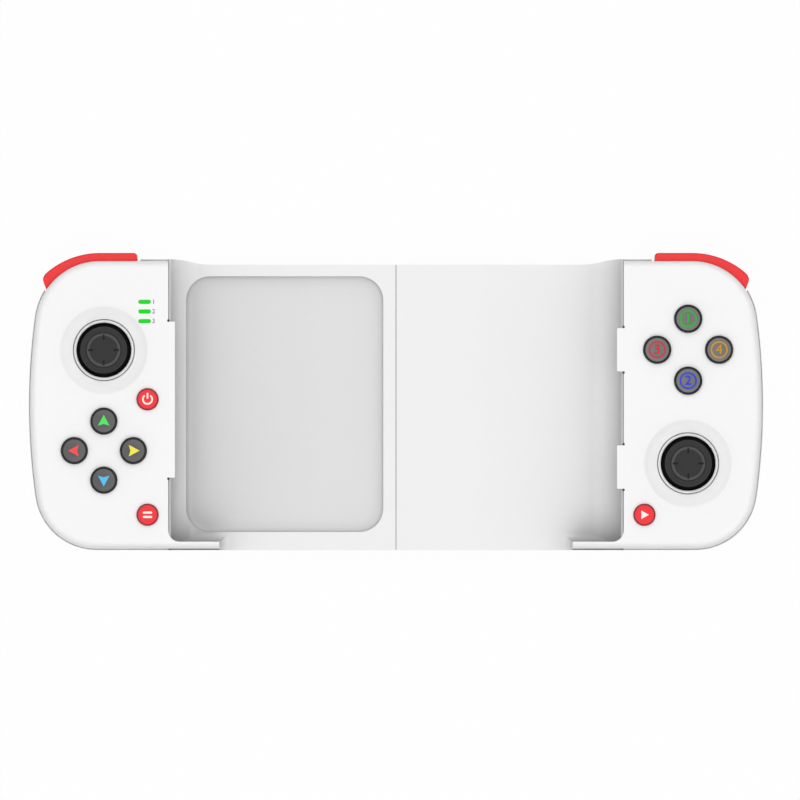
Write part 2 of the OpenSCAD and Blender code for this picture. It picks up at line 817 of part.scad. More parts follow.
// Slotted arch that follows the lever about Y.
module stick_arch() {
    difference() {
        union() {
            intersection() {
                rod_x([0, 0], arch_r, -2.4, 2.4);
                box([-3, -housing_w / 2, -1.2], [3, housing_w / 2, 5]);
            }
            rod_y([0, 0], gimbal_pin_r, -housing_w / 2 + 0.1, housing_w / 2 + 1.4);
        }
        rod_x([0, 0], arch_r - 0.8, -3, 3);
        box([-3, 0.8 - arch_r, -6], [3, arch_r - 0.8, 0]);
        box([-lever_r - 0.2, 1.75 - arch_r, 0], [lever_r + 0.2, arch_r - 1.75, 6]);
    }
}

// Thumb cap with its stem and dust dome.
module stick_cap() {
    h = stick_h;
    r = stick_r;
    inner = dome_r - 0.6;
    difference() {
        rotate_extrude()
            polygon(concat(
                [[0, 5.6], [2.3, 5.6]],
                arc([0, 0], inner, acos(2.3 / inner), 30, 10),
                arc([0, 0], dome_r, 30, acos(2.3 / dome_r), 10),
                [
                    [2.3, h - 3], [r - 0.9, h - 2.5], [r - 0.2, h - 2.1], [r, h - 1.6],
                    [r, h - 0.9], [r - 0.3, h - 0.3], [r - 0.9, h], [r - 1.5, h - 0.1],
                    [r - 2, h - 0.7], [r - 2.6, h - 0.95], [r - 4, h - 0.9], [0, h - 0.8]
                ]
            ));
        translate([0, 0, 5])
            cylinder(r = lever_r + fit, h = 5.2);
        for (a = [0, 90, 180, 270])
            rotate([0, 0, a])
                box([r - 3.4, -0.7, h - 1.3], [r - 2.5, 0.7, h + 1]);
    }
}

// Bumper with its pivot lug and switch finger.
module bumper() {
    difference() {
        union() {
            skin(shoulder_rings(
                shoulder_path(),
                shoulder_section(bumper_z)
            ));
            rod(bumper_pin, 1.9, bumper_z[0] + 0.4, bumper_z[1]);
            box(
                [bumper_pin.x - 1, bumper_pin.y + 1.2, bumper_z[0] + 0.4],
                [bumper_pin.x + 1, half_h - 1, bumper_z[1]]
            );
            box(
                [finger_x[0] - 1, half_h - 9.2, bumper_z[0] + 0.4],
                [finger_x[0] + 1, half_h - 2.6, bumper_z[0] + 2.6]
            );
        }
        rod(bumper_pin, shoulder_pin_r + fit, bumper_z[0] - 1, bumper_z[1] + 1);
    }
}

// Trigger behind the bumper with two pivot lugs and a switch finger.
module trigger() {
    difference() {
        union() {
            skin(shoulder_rings(
                shoulder_path(),
                shoulder_section(trigger_z)
            ));
            for (x = lug_x) {
                rod_x(trigger_pin, 1.8, x, x + 2.5);
                box(
                    [x, trigger_pin.x + 0.9, trigger_pin.y - 1.8],
                    [x + 2.5, half_h - 1, trigger_pin.y + 1.2]
                );
            }
            box([finger_x[1] - 1, half_h - 9, 6.4], [finger_x[1] + 1, half_h - 1, 8.2]);
        }
        rod_x(trigger_pin, shoulder_pin_r + fit, lug_x[0] - 1, lug_x[1] + 4);
    }
}

// Two edge switches, one on each face of the board.
module shoulder_switches() {
    box([finger_x[0] - 3, switch_y - 3.2, board_top_z], [finger_x[0] + 3, switch_y, board_top_z + 3.6]);
    rod_y([finger_x[0], board_top_z + 2.6], 0.9, switch_y - 0.5, switch_y + 1.5);
    box([finger_x[1] - 3, switch_y - 3.2, board_z - 3.6], [finger_x[1] + 3, switch_y, board_z]);
    rod_y([finger_x[1], 7.3], 0.9, switch_y - 0.5, switch_y + 1.8);
}

// Torsion spring round the trigger pin.
module trigger_spring() {
    turns = 4;
    steps = 12;
    r = 1.35;
    wire = 0.28;
    x0 = lug_x[0] + 2.9;
    pitch = (lug_x[1] - lug_x[0] - 3.3) / turns;
    skin([for (k = [0:turns * steps])
        let (t = 360 * k / steps, x = x0 + pitch * k / steps)
        [for (j = [0:5])
            let (q = r + wire * cos(60 * j))
            [x + wire * sin(60 * j), trigger_pin.x + q * cos(t), trigger_pin.y + q * sin(t)]]]);
}

// Screw with a hex socket, its head's underside at height z.
module screw(p, z, h) {
    difference() {
        union() {
            rod(p, head_size[0], z - h, z);
            rod(p, shank_r, z - 0.2, z + (h < 1 ? 5 : 11));
        }
        translate([p.x, p.y, z - h - 1])
            cylinder(r = 1, h = 1.5, $fn = 6);
    }
}

// Screws of one half.
module half_screws() {
    for (p = screws)
        screw(p, boss_seat_z - 2, head_size[1]);
    for (p = bridge_screws)
        screw(p, bridge_back_z + 1, 0.9);
}

module left_front_shell() {
    color([0.93, 0.93, 0.92])
        left_side()
            difference() {
                front_shell(
                    left_stick_y,
                    dpad_keys,
                    dpad_r,
                    left_small,
                    left_tabs
                );
                for (p = lamps)
                    box(
                        [p.x - lamp_size[1] / 2 - fit, p.y - lamp_size[2] / 2 - fit, ring_seat_z - 1],
                        [p.x + lamp_size[1] / 2 + fit, p.y + lamp_size[2] / 2 + fit, front_z + 1]
                    );
            }
}

module right_front_shell() {
    color([0.93, 0.93, 0.92])
        front_shell(
            right_stick_y,
            face_keys,
            face_r,
            right_small,
            right_tabs
        );
}

module left_back_shell() {
    color([0.9, 0.9, 0.89])
        left_side() {
            back_shell(sleeve_z[0]);
            for (s = [-1, 1])
                rod([peg.x, bridge_y + s * peg.y], 1.5, sleeve_z[0] - 0.5, sleeve_z[0] + sleeve_wall);
        }
}

module right_back_shell() {
    color([0.9, 0.9, 0.89])
        difference() {
            union() {
                back_shell(plate_z_right);
                for (s = [-1, 1])
                    rod([anchor_x[1], bridge_y + s * spring_y], anchor_r, plate_z_right - 0.5, 9);
            }
            translate([column_x + 1.8, -half_h, board_z - socket_size[2] / 2])
                socket_stadium(0.3, -1, wall + 3);
        }
}

module left_bay_tray() {
    color([0.95, 0.95, 0.94])
        left_side()
            difference() {
                bay_tray(sleeve_z[0], left_tabs);
                translate([0, 0, bay_floor_z - recess_depth])
                    linear_extrude(height = recess_depth + 1)
                        recess_plan();
            }
}

module right_bay_tray() {
    color([0.95, 0.95, 0.94])
        bay_tray(plate_z_right, right_tabs);
}

// Rounded rectangle of the left bay's recess.
module recess_plan() {
    x = [recess_x[0] + recess_r, recess_x[1] - recess_r];
    y = [recess_y[0] + recess_r, recess_y[1] - recess_r];
    polygon(concat(
        arc([x[1], y[1]], recess_r, 0, 90, 8),
        arc([x[0], y[1]], recess_r, 90, 180, 8),
        arc([x[0], y[0]], recess_r, 180, 270, 8),
        arc([x[1], y[0]], recess_r, 270, 360, 8)
    ));
}

module bridge_sleeve() {
    w = sleeve_w / 2;
    color([0.55, 0.56, 0.57])
        difference() {
            union() {
                difference() {
                    box(
                        [-sleeve_reach[0], bridge_y - w, sleeve_z[0]],
                        [sleeve_reach[1], bridge_y + w, sleeve_z[1]]
                    );
                    box(
                        [
                            -sleeve_reach[0] - 1,
                            bridge_y - w + sleeve_wall,
                            sleeve_z[0] + sleeve_wall
                        ],
                        [
                            sleeve_reach[1] + 1,
                            bridge_y + w - sleeve_wall,
                            sleeve_z[1] - sleeve_wall
                        ]
                    );
                }
                for (s = [-1, 1])
                    rod(
                        [anchor_x[0], bridge_y + s * spring_y],
                        anchor_r,
                        sleeve_z[0] + 0.3,
                        sleeve_z[1] - 0.3
                    );
            }
            for (s = [-1, 1])
                rod([-peg.x, bridge_y + s * peg.y], 1.5 + fit, sleeve_z[0] - 1, sleeve_z[0] + 2);
        }
}

module slide_rails() {
    y0 = sleeve_w / 2 + slide_gap;
    color([0.25, 0.26, 0.27])
        for (s = [-1, 1])
            translate([2, bridge_y + s * (y0 + rail_w / 2) - rail_w / 2, plate_z_right])
                cube([sleeve_reach[1], rail_w, tray_z - 0.2 - plate_z_right]);
}

module tension_springs() {
    eye = anchor_r + 0.4;
    color([0.6, 0.6, 0.62])
        for (s = [-1, 1])
            translate([0, bridge_y + s * spring_y, sleeve_mid_z]) {
                difference() {
                    union() {
                        rod_x([0, 0], spring_d / 2, anchor_x[0] + 6, anchor_x[1] - 6);
                        rod_x([0, 0], 0.3, anchor_x[0] + eye, anchor_x[1] - eye);
                    }
                    rod_x([0, 0], spring_d / 2 - 0.4, anchor_x[0] + 6.4, anchor_x[1] - 6.4);
                }
                for (x = anchor_x)
                    translate([x, 0, 0])
                        rotate_extrude()
                            translate([eye, 0])
                                circle(r = 0.3, $fn = 24);
            }
}

module ribbon_cable() {
    t = 0.2;
    low = sleeve_mid_z - 1.2;
    high = sleeve_mid_z + 1.2;
    grip_z = board_z - t;
    color([0.75, 0.55, 0.2])
        along_y(-ribbon_w / 2, ribbon_w / 2) {
            ribbon_run([-bay_half - 9, grip_z], [-bay_half - 2, grip_z], t);
            ribbon_run([-bay_half - 2, grip_z], [-sleeve_reach[0] - 1, low], t);
            ribbon_run([-sleeve_reach[0] - 1, low], [ribbon_x[1], low], t);
            ribbon_bend([ribbon_x[1], low + 0.6], 1, t);
            ribbon_run([ribbon_x[0], sleeve_mid_z], [ribbon_x[1], sleeve_mid_z], t);
            ribbon_bend([ribbon_x[0], high - 0.6], -1, t);
            ribbon_run([ribbon_x[0], high], [sleeve_reach[1] + 1, high], t);
            ribbon_run([sleeve_reach[1] + 1, high], [bay_half + 2, grip_z], t);
            ribbon_run([bay_half + 2, grip_z], [bay_half + 9, grip_z], t);
        }
}

// Straight run of the ribbon between two points.
module ribbon_run(a, b, t) {
    d = b - a;
    translate(a)
        rotate([0, 0, atan2(d.y, d.x)])
            translate([-t / 2, -t / 2])
                square([norm(d) + t, t]);
}

// Half turn of the ribbon towards side s.
module ribbon_bend(c, s, t) {
    translate(c)
        intersection() {
            difference() {
                circle(r = 0.6 + t / 2);
                circle(r = 0.6 - t / 2);
            }
            translate([s > 0 ? 0 : -2, -2])
                square([2, 4]);
        }
}

module left_main_board() {
    color([0.1, 0.35, 0.2])
        left_side()
            main_board();
}

module right_main_board() {
    color([0.1, 0.35, 0.2])
        main_board();
}

module left_keypad() {
    color([0.6, 0.62, 0.65])
        left_side()
            keypad([column_x, dpad_y], dpad_keys, left_small);
}

module right_keypad() {
    color([0.6, 0.62, 0.65])
        keypad([column_x, face_y], face_keys, right_small);
}

module indicator_lenses() {
    color([0.2, 0.7, 0.3])
        left_side()
            for (p = lamps) {
                box(
                    [p.x - lamp_size[1] / 2, p.y - lamp_size[2] / 2, board_top_z + 1],
                    [p.x + lamp_size[1] / 2, p.y + lamp_size[2] / 2, front_z]
                );
                box(
                    [p.x - 0.5, p.y - 1.1, flange_z[0] - 2.4],
                    [p.x + lamp_size[1] / 2 + 0.6, p.y + 1.1, ring_seat_z]
                );
            }
}

module left_stick_ring() {
    color([0.88, 0.88, 0.87])
        left_side()
            stick_ring([column_x, left_stick_y]);
}

module right_stick_ring() {
    color([0.88, 0.88, 0.87])
        stick_ring([column_x, right_stick_y]);
}

module left_stick_housing() {
    color([0.3, 0.31, 0.33])
        left_side()
            at_pivot(left_stick_y)
                stick_housing();
}

module right_stick_housing() {
    color([0.3, 0.31, 0.33])
        at_pivot(right_stick_y)
            stick_housing();
}

module left_stick_cradle() {
    color([0.75, 0.75, 0.72])
        left_side()
            at_pivot(left_stick_y)
                stick_cradle();
}

module right_stick_cradle() {
    color([0.75, 0.75, 0.72])
        at_pivot(right_stick_y)
            stick_cradle();
}

module left_stick_lever() {
    color([0.6, 0.6, 0.58])
        left_side()
            at_pivot(left_stick_y)
                stick_lever();
}

module right_stick_lever() {
    color([0.6, 0.6, 0.58])
        at_pivot(right_stick_y)
            stick_lever();
}

module left_stick_arch() {
    color([0.5, 0.5, 0.52])
        left_side()
            at_pivot(left_stick_y)
                stick_arch();
}

module right_stick_arch() {
    color([0.5, 0.5, 0.52])
        at_pivot(right_stick_y)
            stick_arch();
}

module left_stick_cap() {
    color([0.12, 0.12, 0.12])
        left_side()
            at_pivot(left_stick_y)
                stick_cap();
}

module right_stick_cap() {
    color([0.12, 0.12, 0.12])
        at_pivot(right_stick_y)
            stick_cap();
}

module left_screws() {
    color([0.4, 0.4, 0.42])
        left_side()
            half_screws();
}

module right_screws() {
    color([0.4, 0.4, 0.42])
        half_screws();
}

module left_shoulder_switches() {
    color([0.2, 0.2, 0.22])
        left_side()
            shoulder_switches();
}

module right_shoulder_switches() {
    color([0.2, 0.2, 0.22])
        shoulder_switches();
}

module left_trigger_pin() {
    color([0.7, 0.7, 0.72])
        left_side()
            rod_x(trigger_pin, shoulder_pin_r, bracket_x[0] + 0.1, bracket_x[1] + 1.3);
}

module right_trigger_pin() {
    color([0.7, 0.7, 0.72])
        rod_x(trigger_pin, shoulder_pin_r, bracket_x[0] + 0.1, bracket_x[1] + 1.3);
}

module left_bumper_pin() {
    color([0.7, 0.7, 0.72])
        left_side()
            rod(bumper_pin, shoulder_pin_r, bumper_z[0] + 0.6, bumper_z[1] + 1.3);
}

module right_bumper_pin() {
    color([0.7, 0.7, 0.72])
        rod(bumper_pin, shoulder_pin_r, bumper_z[0] + 0.6, bumper_z[1] + 1.3);
}

module left_trigger_spring() {
    color([0.6, 0.6, 0.62])
        left_side()
            trigger_spring();
}

module right_trigger_spring() {
    color([0.6, 0.6, 0.62])
        trigger_spring();
}

module battery() {
    color([0.65, 0.66, 0.68])
        translate([column_x + 0.3, 0, wall + 0.2])
            linear_extrude(height = battery_size[1])
                square([battery_size[0], battery_len], center = true);
}

// Stadium of the charging socket, grown by g, from y0 to y1 beyond the bottom edge.
module socket_stadium(g, y0, y1) {
    r = socket_size[2] / 2 + g;
    w = socket_size[0] / 2 + g - r;
    for (s = [-1, 1])
        rod_y([s * w, 0], r, y0, y1);
    box([-w, y0, -r], [w, y1, r]);
}

module charging_socket() {
    color([0.7, 0.71, 0.73])
        translate([column_x + 1.8, -half_h, board_z - socket_size[2] / 2])
            difference() {
                socket_stadium(0, 0.4, 0.4 + socket_size[1]);
                socket_stadium(-0.35, -1, socket_size[1] - 0.6);
            }
}

module dpad_up() {
    color([0.25, 0.25, 0.25])
        left_side()
            round_key(dpad_keys[0], dpad_r);
}

module dpad_down() {
    color([0.25, 0.25, 0.25])
        left_side()
            round_key(dpad_keys[1], dpad_r);
}

module dpad_left() {
    color([0.25, 0.25, 0.25])
        left_side()
            round_key(dpad_keys[3], dpad_r);
}

module dpad_right() {
    color([0.25, 0.25, 0.25])
        left_side()
            round_key(dpad_keys[2], dpad_r);
}

module face_top() {
    color([0.4, 0.4, 0.4])
        round_key(face_keys[0], face_r);
}

module face_bottom() {
    color([0.4, 0.4, 0.4])
        round_key(face_keys[1], face_r);
}

module face_left() {
    color([0.4, 0.4, 0.4])
        round_key(face_keys[2], face_r);
}

module face_right() {
    color([0.4, 0.4, 0.4])
        round_key(face_keys[3], face_r);
}

module power_button() {
    color([0.75, 0.1, 0.12])
        left_side()
            round_key(left_small[0], small_r);
}

module select_button() {
    color([0.75, 0.1, 0.12])
        left_side()
            round_key(left_small[1], small_r);
}

module start_button() {
    color([0.75, 0.1, 0.12])
        round_key(right_small[0], small_r);
}

module left_bumper() {
    color([0.75, 0.1, 0.12])
        left_side()
            bumper();
}

module right_bumper() {
    color([0.75, 0.1, 0.12])
        bumper();
}

module left_trigger() {
    color([0.75, 0.1, 0.12])
        left_side()
            trigger();
}

module right_trigger() {
    color([0.75, 0.1, 0.12])
        trigger();
}

placed() left_front_shell();
placed() left_back_shell();
placed() left_bay_tray();
placed() bridge_sleeve();
placed() left_main_board();
placed() left_keypad();
placed() indicator_lenses();
placed() left_stick_ring();
placed() left_stick_housing();
placed() left_screws();
placed() left_shoulder_switches();
placed() left_trigger_pin();
placed() left_bumper_pin();
placed() left_trigger_spring();
placed() tension_springs();
placed() ribbon_cable();
placed() right_front_shell();
placed() right_back_shell();
placed() right_bay_tray();
placed() slide_rails();
placed() right_main_board();
placed() right_keypad();
placed() right_stick_ring();
placed() right_stick_housing();
placed() right_screws();
placed() right_shoulder_switches();
placed() right_trigger_pin();
placed() right_bumper_pin();
placed() right_trigger_spring();
placed() battery();
placed() charging_socket();
placed() dpad_up();
placed() dpad_down();
placed() dpad_left();
placed() dpad_right();
placed() face_top();
placed() face_bottom();
placed() face_left();
placed() face_right();
placed() power_button();
placed() select_button();
placed() start_button();
placed() left_bumper();
placed() left_trigger();
placed() right_bumper();
placed() right_trigger();
placed() left_stick_cap();
placed() left_stick_lever();
placed() left_stick_cradle();
placed() left_stick_arch();
placed() right_stick_cap();
placed() right_stick_lever();
placed() right_stick_cradle();
placed() right_stick_arch();
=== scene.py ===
"""Looks of a telescopic phone game controller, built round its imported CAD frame.

Sizes are in millimetres in the part's own drawing, with Y counted from mid-height.
Each mesh is moved into the shared frame, in metres, when its piece is finished.
"""
import json
import logging
import math
from dataclasses import dataclass
from enum import Enum

import bmesh
import bpy
from bmesh.types import BMEdge, BMesh, BMFace, BMVert
from mathutils import Matrix, Vector


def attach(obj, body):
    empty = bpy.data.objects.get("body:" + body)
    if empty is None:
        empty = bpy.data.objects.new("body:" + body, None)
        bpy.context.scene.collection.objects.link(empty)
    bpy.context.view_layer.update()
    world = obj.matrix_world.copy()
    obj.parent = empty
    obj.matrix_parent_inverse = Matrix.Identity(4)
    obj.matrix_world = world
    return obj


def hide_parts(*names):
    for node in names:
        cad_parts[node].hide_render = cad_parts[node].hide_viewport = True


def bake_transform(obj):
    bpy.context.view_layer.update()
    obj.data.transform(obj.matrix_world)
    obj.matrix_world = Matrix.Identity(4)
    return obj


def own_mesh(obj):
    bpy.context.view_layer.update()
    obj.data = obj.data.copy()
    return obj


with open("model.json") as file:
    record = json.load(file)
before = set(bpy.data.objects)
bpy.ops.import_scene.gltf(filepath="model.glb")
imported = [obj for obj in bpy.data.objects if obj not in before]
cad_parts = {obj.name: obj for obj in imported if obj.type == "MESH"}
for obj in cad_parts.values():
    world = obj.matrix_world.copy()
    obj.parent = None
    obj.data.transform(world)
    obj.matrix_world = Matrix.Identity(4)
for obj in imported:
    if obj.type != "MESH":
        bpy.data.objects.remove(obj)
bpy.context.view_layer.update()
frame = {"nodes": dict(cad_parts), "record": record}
LOG = logging.getLogger("controller")
MM = 0.001
FRAME_DY = -0.85
# Points closer than the first become one; closer than the second, they count as in line.
MERGE_GAP = 1e-4
NEAR = 1e-3
# Last half turn of a closed outline, which stops short of its first point.
SHORT_TURN = 170
# Straight foot below a wall that leans.
DRAFT_FOOT = 0.5
Colour = tuple[float, float, float]
Point = tuple[float, float]


class Side(Enum):
    """The two halves; the value is the sign of their X."""

    LEFT = -1
    RIGHT = 1

    @property
    def label(self) -> str:
        """Name of the half in piece names."""
        return self.name.lower()


class Joining(Enum):
    """Ways to combine two solids."""

    CUT = "DIFFERENCE"
    WELD = "UNION"
    KEEP = "INTERSECT"


@dataclass(frozen=True)
class GripSizes:
    """Sizes that both grips and the phone bay share."""

    outer_x: float = 101.0
    half_h: float = 40.0
    bay_x: float = 62.5
    front_z: float = 24.0
    parting_z: float = 12.5
    side_bow_r: float = 180.0
    top_r: float = 18.2
    bottom_r: float = 17.0
    wall: float = 2.0
    plate_z: float = 22.0
    front_round: Point = (4.0, 3.5)
    rim_round: Point = (1.9, 2.3)
    back_round: Point = (8.0, 10.0)
    floor_z: float = 12.5
    tray_z: float = 10.1
    tray_wall: float = 1.6
    fillet_r: float = 8.0
    ledge_w: float = 2.4
    ledge_x: float = 48.5
    ledge_z: float = 21.0
    ledge_corner_r: float = 3.0
    ramp_r: float = 3.0
    tab_reach: float = 1.8
    tab_r: float = 0.3
    notch_w: float = 0.6
    notch_x: Point = (-0.3, 0.28)
    notch_drop: float = 3.0
    panel_y: float = 38.5
    flare_len: float = 12.0
    seam: float = 0.004
    seam_groove: Point = (0.09, 0.9)
    lip: Point = (0.15, 0.35)
    lip_depth: float = 1.2
    lip_over: float = 0.1
    bridge_z: float = 2.5
    column_x: float = 80.2
    small_x: float = 68.2
    ring_r: float = 8.4
    ring_hole_r: float = 7.5
    dish_r: float = 12.6
    dish_depth: float = 1.3
    pivot_z: float = 14.0
    shoulder_x: float = 71.0
    shoulder_in: float = 1.8
    shoulder_out: float = 1.7
    shoulder_r: float = 22.5
    shoulder_ends: Point = (44.6, 30.5)
    beyond: float = 60.0
    inward: float = 30.0
    above_face: float = 28.0
    above_all: float = 30.0

    @property
    def side_c(self) -> Point:
        """Centre of the bowed outer side."""
        return (self.outer_x - self.side_bow_r, 0.0)

    @property
    def top_c(self) -> Point:
        """Centre of the upper outer corner."""
        y = self.half_h - self.top_r
        return (self.side_c[0] + math.sqrt((self.side_bow_r - self.top_r) ** 2 - y * y), y)

    @property
    def bottom_c(self) -> Point:
        """Centre of the lower outer corner."""
        y = self.bottom_r - self.half_h
        return (self.side_c[0] + math.sqrt((self.side_bow_r - self.bottom_r) ** 2 - y * y), y)

    @property
    def shoulder_c(self) -> Point:
        """Centre of the shoulder buttons' outer curve."""
        return (self.top_c[0], self.half_h + self.shoulder_out - self.shoulder_r)

    @property
    def ledge_y(self) -> float:
        """Inner side of the ledge along the bottom edge."""
        return self.ledge_w - self.half_h

    def bow_angle(self, centre: Point) -> float:
        """Angle in degrees at which a corner meets the bowed side."""
        return math.degrees(math.atan2(centre[1], centre[0] - self.side_c[0]))


SIZES = GripSizes()


class Pen:
    """Draws an outline with extruded points and spun arcs."""

    def __init__(self, x: float, y: float) -> None:
        """Starts an outline at a point.

        Args:
            x: First point's place along the first axis.
            y: Its place along the second axis.
        """
        self.bm = bmesh.new()
        self.first = self.bm.verts.new((x, y, 0.0))
        self.tip = self.first

    def to(self, x: float, y: float) -> "Pen":
        """Draws a straight line to a point.

        Args:
            x: Next point's place along the first axis.
            y: Its place along the second axis.

        Returns:
            The pen, for the next call.
        """
        made = bmesh.ops.extrude_vert_indiv(self.bm, verts=[self.tip])
        self.tip = made["verts"][0]
        self.tip.co = (x, y, 0.0)
        return self

    def turn(self, centre: Point, degrees: float, steps: int) -> "Pen":
        """Draws an arc about a centre.

        Args:
            centre: Centre of the arc.
            degrees: Turn, counter-clockwise if positive.
            steps: Number of straight steps.

        Returns:
            The pen, at the arc's end.
        """
        made = bmesh.ops.spin(
            self.bm, geom=[self.tip], cent=(*centre, 0.0), axis=(0, 0, 1), dvec=(0, 0, 0),
            angle=math.radians(degrees), steps=steps, use_merge=False, use_duplicate=False)
        self.tip = next(g for g in made["geom_last"] if isinstance(g, BMVert))
        return self

    def fill(self) -> BMFace:
        """Closes the outline and fills it with one face.

        Returns:
            The face.
        """
        self.bm.edges.new((self.tip, self.first))
        made = bmesh.ops.contextual_create(self.bm, geom=self.bm.edges[:])
        return made["faces"][0]


def pull(bm: BMesh, face: BMFace, height: float) -> BMFace:
    """Extrudes a face along Z into a closed solid.

    Args:
        bm: Mesh that holds the face.
        face: Flat face to pull.
        height: Distance along Z.

    Returns:
        The face at the far end.
    """
    made = bmesh.ops.extrude_face_region(bm, geom=[face])["geom"]
    moved = [g for g in made if isinstance(g, BMVert)]
    bmesh.ops.translate(bm, verts=moved, vec=(0, 0, height))
    bmesh.ops.recalc_face_normals(bm, faces=bm.faces[:])
    return next(g for g in made if isinstance(g, BMFace))


def block(pen: Pen, z0: float, z1: float, rounding: Point = (0.0, 0.0), steps: int = 0,
          draft: float = 0.0) -> BMesh:
    """Makes a solid from an outline, with an elliptic rounding round its top.

    Args:
        pen: Finished outline.
        z0: Height of the underside.
        z1: Height of the top.
        rounding: Width and drop of the rounding.
        steps: Number of steps in the rounding.
        draft: How far the wall leans in on its way up, as a mould needs.

    Returns:
        The closed solid.
    """
    bm = pen.bm
    wall = z1 - z0 - rounding[1]
    foot = min(wall, DRAFT_FOOT) if draft else wall
    top = pull(bm, pen.fill(), foot)
    if draft:
        bmesh.ops.inset_region(bm, faces=[top], thickness=draft, depth=wall - foot,
                               use_boundary=True, use_even_offset=True)
    for step in range(steps):
        a0 = math.pi / 2 * step / steps
        a1 = math.pi / 2 * (step + 1) / steps
        bmesh.ops.inset_region(
            bm, faces=[top], thickness=rounding[0] * (math.cos(a0) - math.cos(a1)),
            depth=rounding[1] * (math.sin(a1) - math.sin(a0)),
            use_boundary=True, use_even_offset=True)
    bmesh.ops.translate(bm, verts=bm.verts[:], vec=(0, 0, z0))
    return bm


def lathe(pen: Pen, centre: Point, steps: int = 72) -> BMesh:
    """Spins a profile of radius and height into a solid of revolution.

    Args:
        pen: Open profile that starts and ends on the axis.
        centre: Place of the axis in plan.
        steps: Number of steps round the axis.

    Returns:
        The closed solid.
    """
    bm = pen.bm
    upright = Matrix.Rotation(math.pi / 2, 3, "X")
    bmesh.ops.rotate(bm, verts=bm.verts[:], cent=(0, 0, 0), matrix=upright)
    bmesh.ops.spin(
        bm, geom=bm.verts[:] + bm.edges[:], cent=(0, 0, 0), axis=(0, 0, 1), dvec=(0, 0, 0),
        angle=2 * math.pi, steps=steps, use_merge=True, use_duplicate=False)
    bmesh.ops.remove_doubles(bm, verts=bm.verts[:], dist=MERGE_GAP)
    bmesh.ops.recalc_face_normals(bm, faces=bm.faces[:])
    bmesh.ops.translate(bm, verts=bm.verts[:], vec=(*centre, 0))
    return bm


def rod(centre: Point, radius: float, z0: float, z1: float, steps: int = 64) -> BMesh:
    """Makes an upright round rod between two heights.

    Args:
        centre: Centre in plan.
        radius: Radius of the rod.
        z0: Height of its foot.
        z1: Height of its top.
        steps: Sides of the rod.

    Returns:
        The solid.
    """
    bm = bmesh.new()
    bmesh.ops.create_cone(
        bm, cap_ends=True, segments=steps, radius1=radius, radius2=radius, depth=z1 - z0,
        matrix=Matrix.Translation((*centre, (z0 + z1) / 2)))
    return bm


def slab(low: tuple[float, float, float], high: tuple[float, float, float]) -> BMesh:
    """Makes a box between two corners.

    Args:
        low: Corner with the lowest coordinates.
        high: Corner with the highest coordinates.

    Returns:
        The solid.
    """
    bm = bmesh.new()
    middle = [(a + b) / 2 for a, b in zip(low, high)]
    size = [b - a for a, b in zip(low, high)]
    bmesh.ops.create_cube(
        bm, size=1.0, matrix=Matrix.Translation(middle) @ Matrix.Diagonal((*size, 1.0)))
    return bm


def along_y(bm: BMesh, start: float) -> BMesh:
    """Lays a solid drawn in X and Z, and pulled along Z, out along Y from a start."""
    swap = Matrix(((1, 0, 0), (0, 0, 1), (0, 1, 0)))
    return laid(bm, swap, (0, start, 0))


def along_x(bm: BMesh, start: float) -> BMesh:
    """Lays a solid drawn in Y and Z, and pulled along Z, out along X from a start."""
    swap = Matrix(((0, 0, 1), (1, 0, 0), (0, 1, 0)))
    return laid(bm, swap, (start, 0, 0))


def laid(bm: BMesh, turn: Matrix, shift: tuple[float, float, float]) -> BMesh:
    """Turns and moves a solid, and keeps its faces pointing outwards.

    Args:
        bm: Solid that was pulled up along Z.
        turn: Swap of the axes that lays it down.
        shift: Move after the turn.

    Returns:
        The same solid.
    """
    bmesh.ops.transform(bm, matrix=Matrix.Translation(shift) @ turn.to_4x4(), verts=bm.verts[:])
    bmesh.ops.recalc_face_normals(bm, faces=bm.faces[:])
    return bm


def upside_down(bm: BMesh, height: float) -> BMesh:
    """Turns a solid over so that its rounded top becomes its underside.

    Args:
        bm: Solid that stands on the floor.
        height: Height at which its old underside ends up.

    Returns:
        The same solid.
    """
    bmesh.ops.scale(bm, vec=(1, 1, -1), verts=bm.verts[:])
    bmesh.ops.translate(bm, vec=(0, 0, height), verts=bm.verts[:])
    bmesh.ops.recalc_face_normals(bm, faces=bm.faces[:])
    return bm


def placed(bm: BMesh, degrees: float, place: Point) -> BMesh:
    """Turns a solid about the upright axis and moves it in plan.

    Args:
        bm: Solid drawn round the origin.
        degrees: Turn, counter-clockwise if positive.
        place: Where its origin goes.

    Returns:
        The same solid.
    """
    turn = Matrix.Rotation(math.radians(degrees), 3, "Z")
    bmesh.ops.rotate(bm, verts=bm.verts[:], cent=(0, 0, 0), matrix=turn)
    bmesh.ops.translate(bm, verts=bm.verts[:], vec=(*place, 0))
    return bm


def bevel(bm: BMesh, edges: list[BMEdge], width: float, steps: int, clamp: bool = True) -> None:
    """Rounds a set of edges; without the clamp, short edges don't narrow the rounding.

    Args:
        bm: Solid to change.
        edges: Edges to round.
        width: Width of the rounding.
        steps: Strips across the rounding.
        clamp: Whether the width is held back where roundings would meet.
    """
    bmesh.ops.bevel(
        bm, geom=edges, offset=width, offset_type="OFFSET", segments=steps, profile=0.5,
        affect="EDGES", material=-1, clamp_overlap=clamp)


def level_edges(bm: BMesh, z: float, inner_x: float = -1e3) -> list[BMEdge]:
    """Finds the edges that lie at one height, beyond a distance from the middle."""
    return [e for e in bm.edges
            if all(abs(v.co.z - z) < NEAR and v.co.x > inner_x for v in e.verts)]


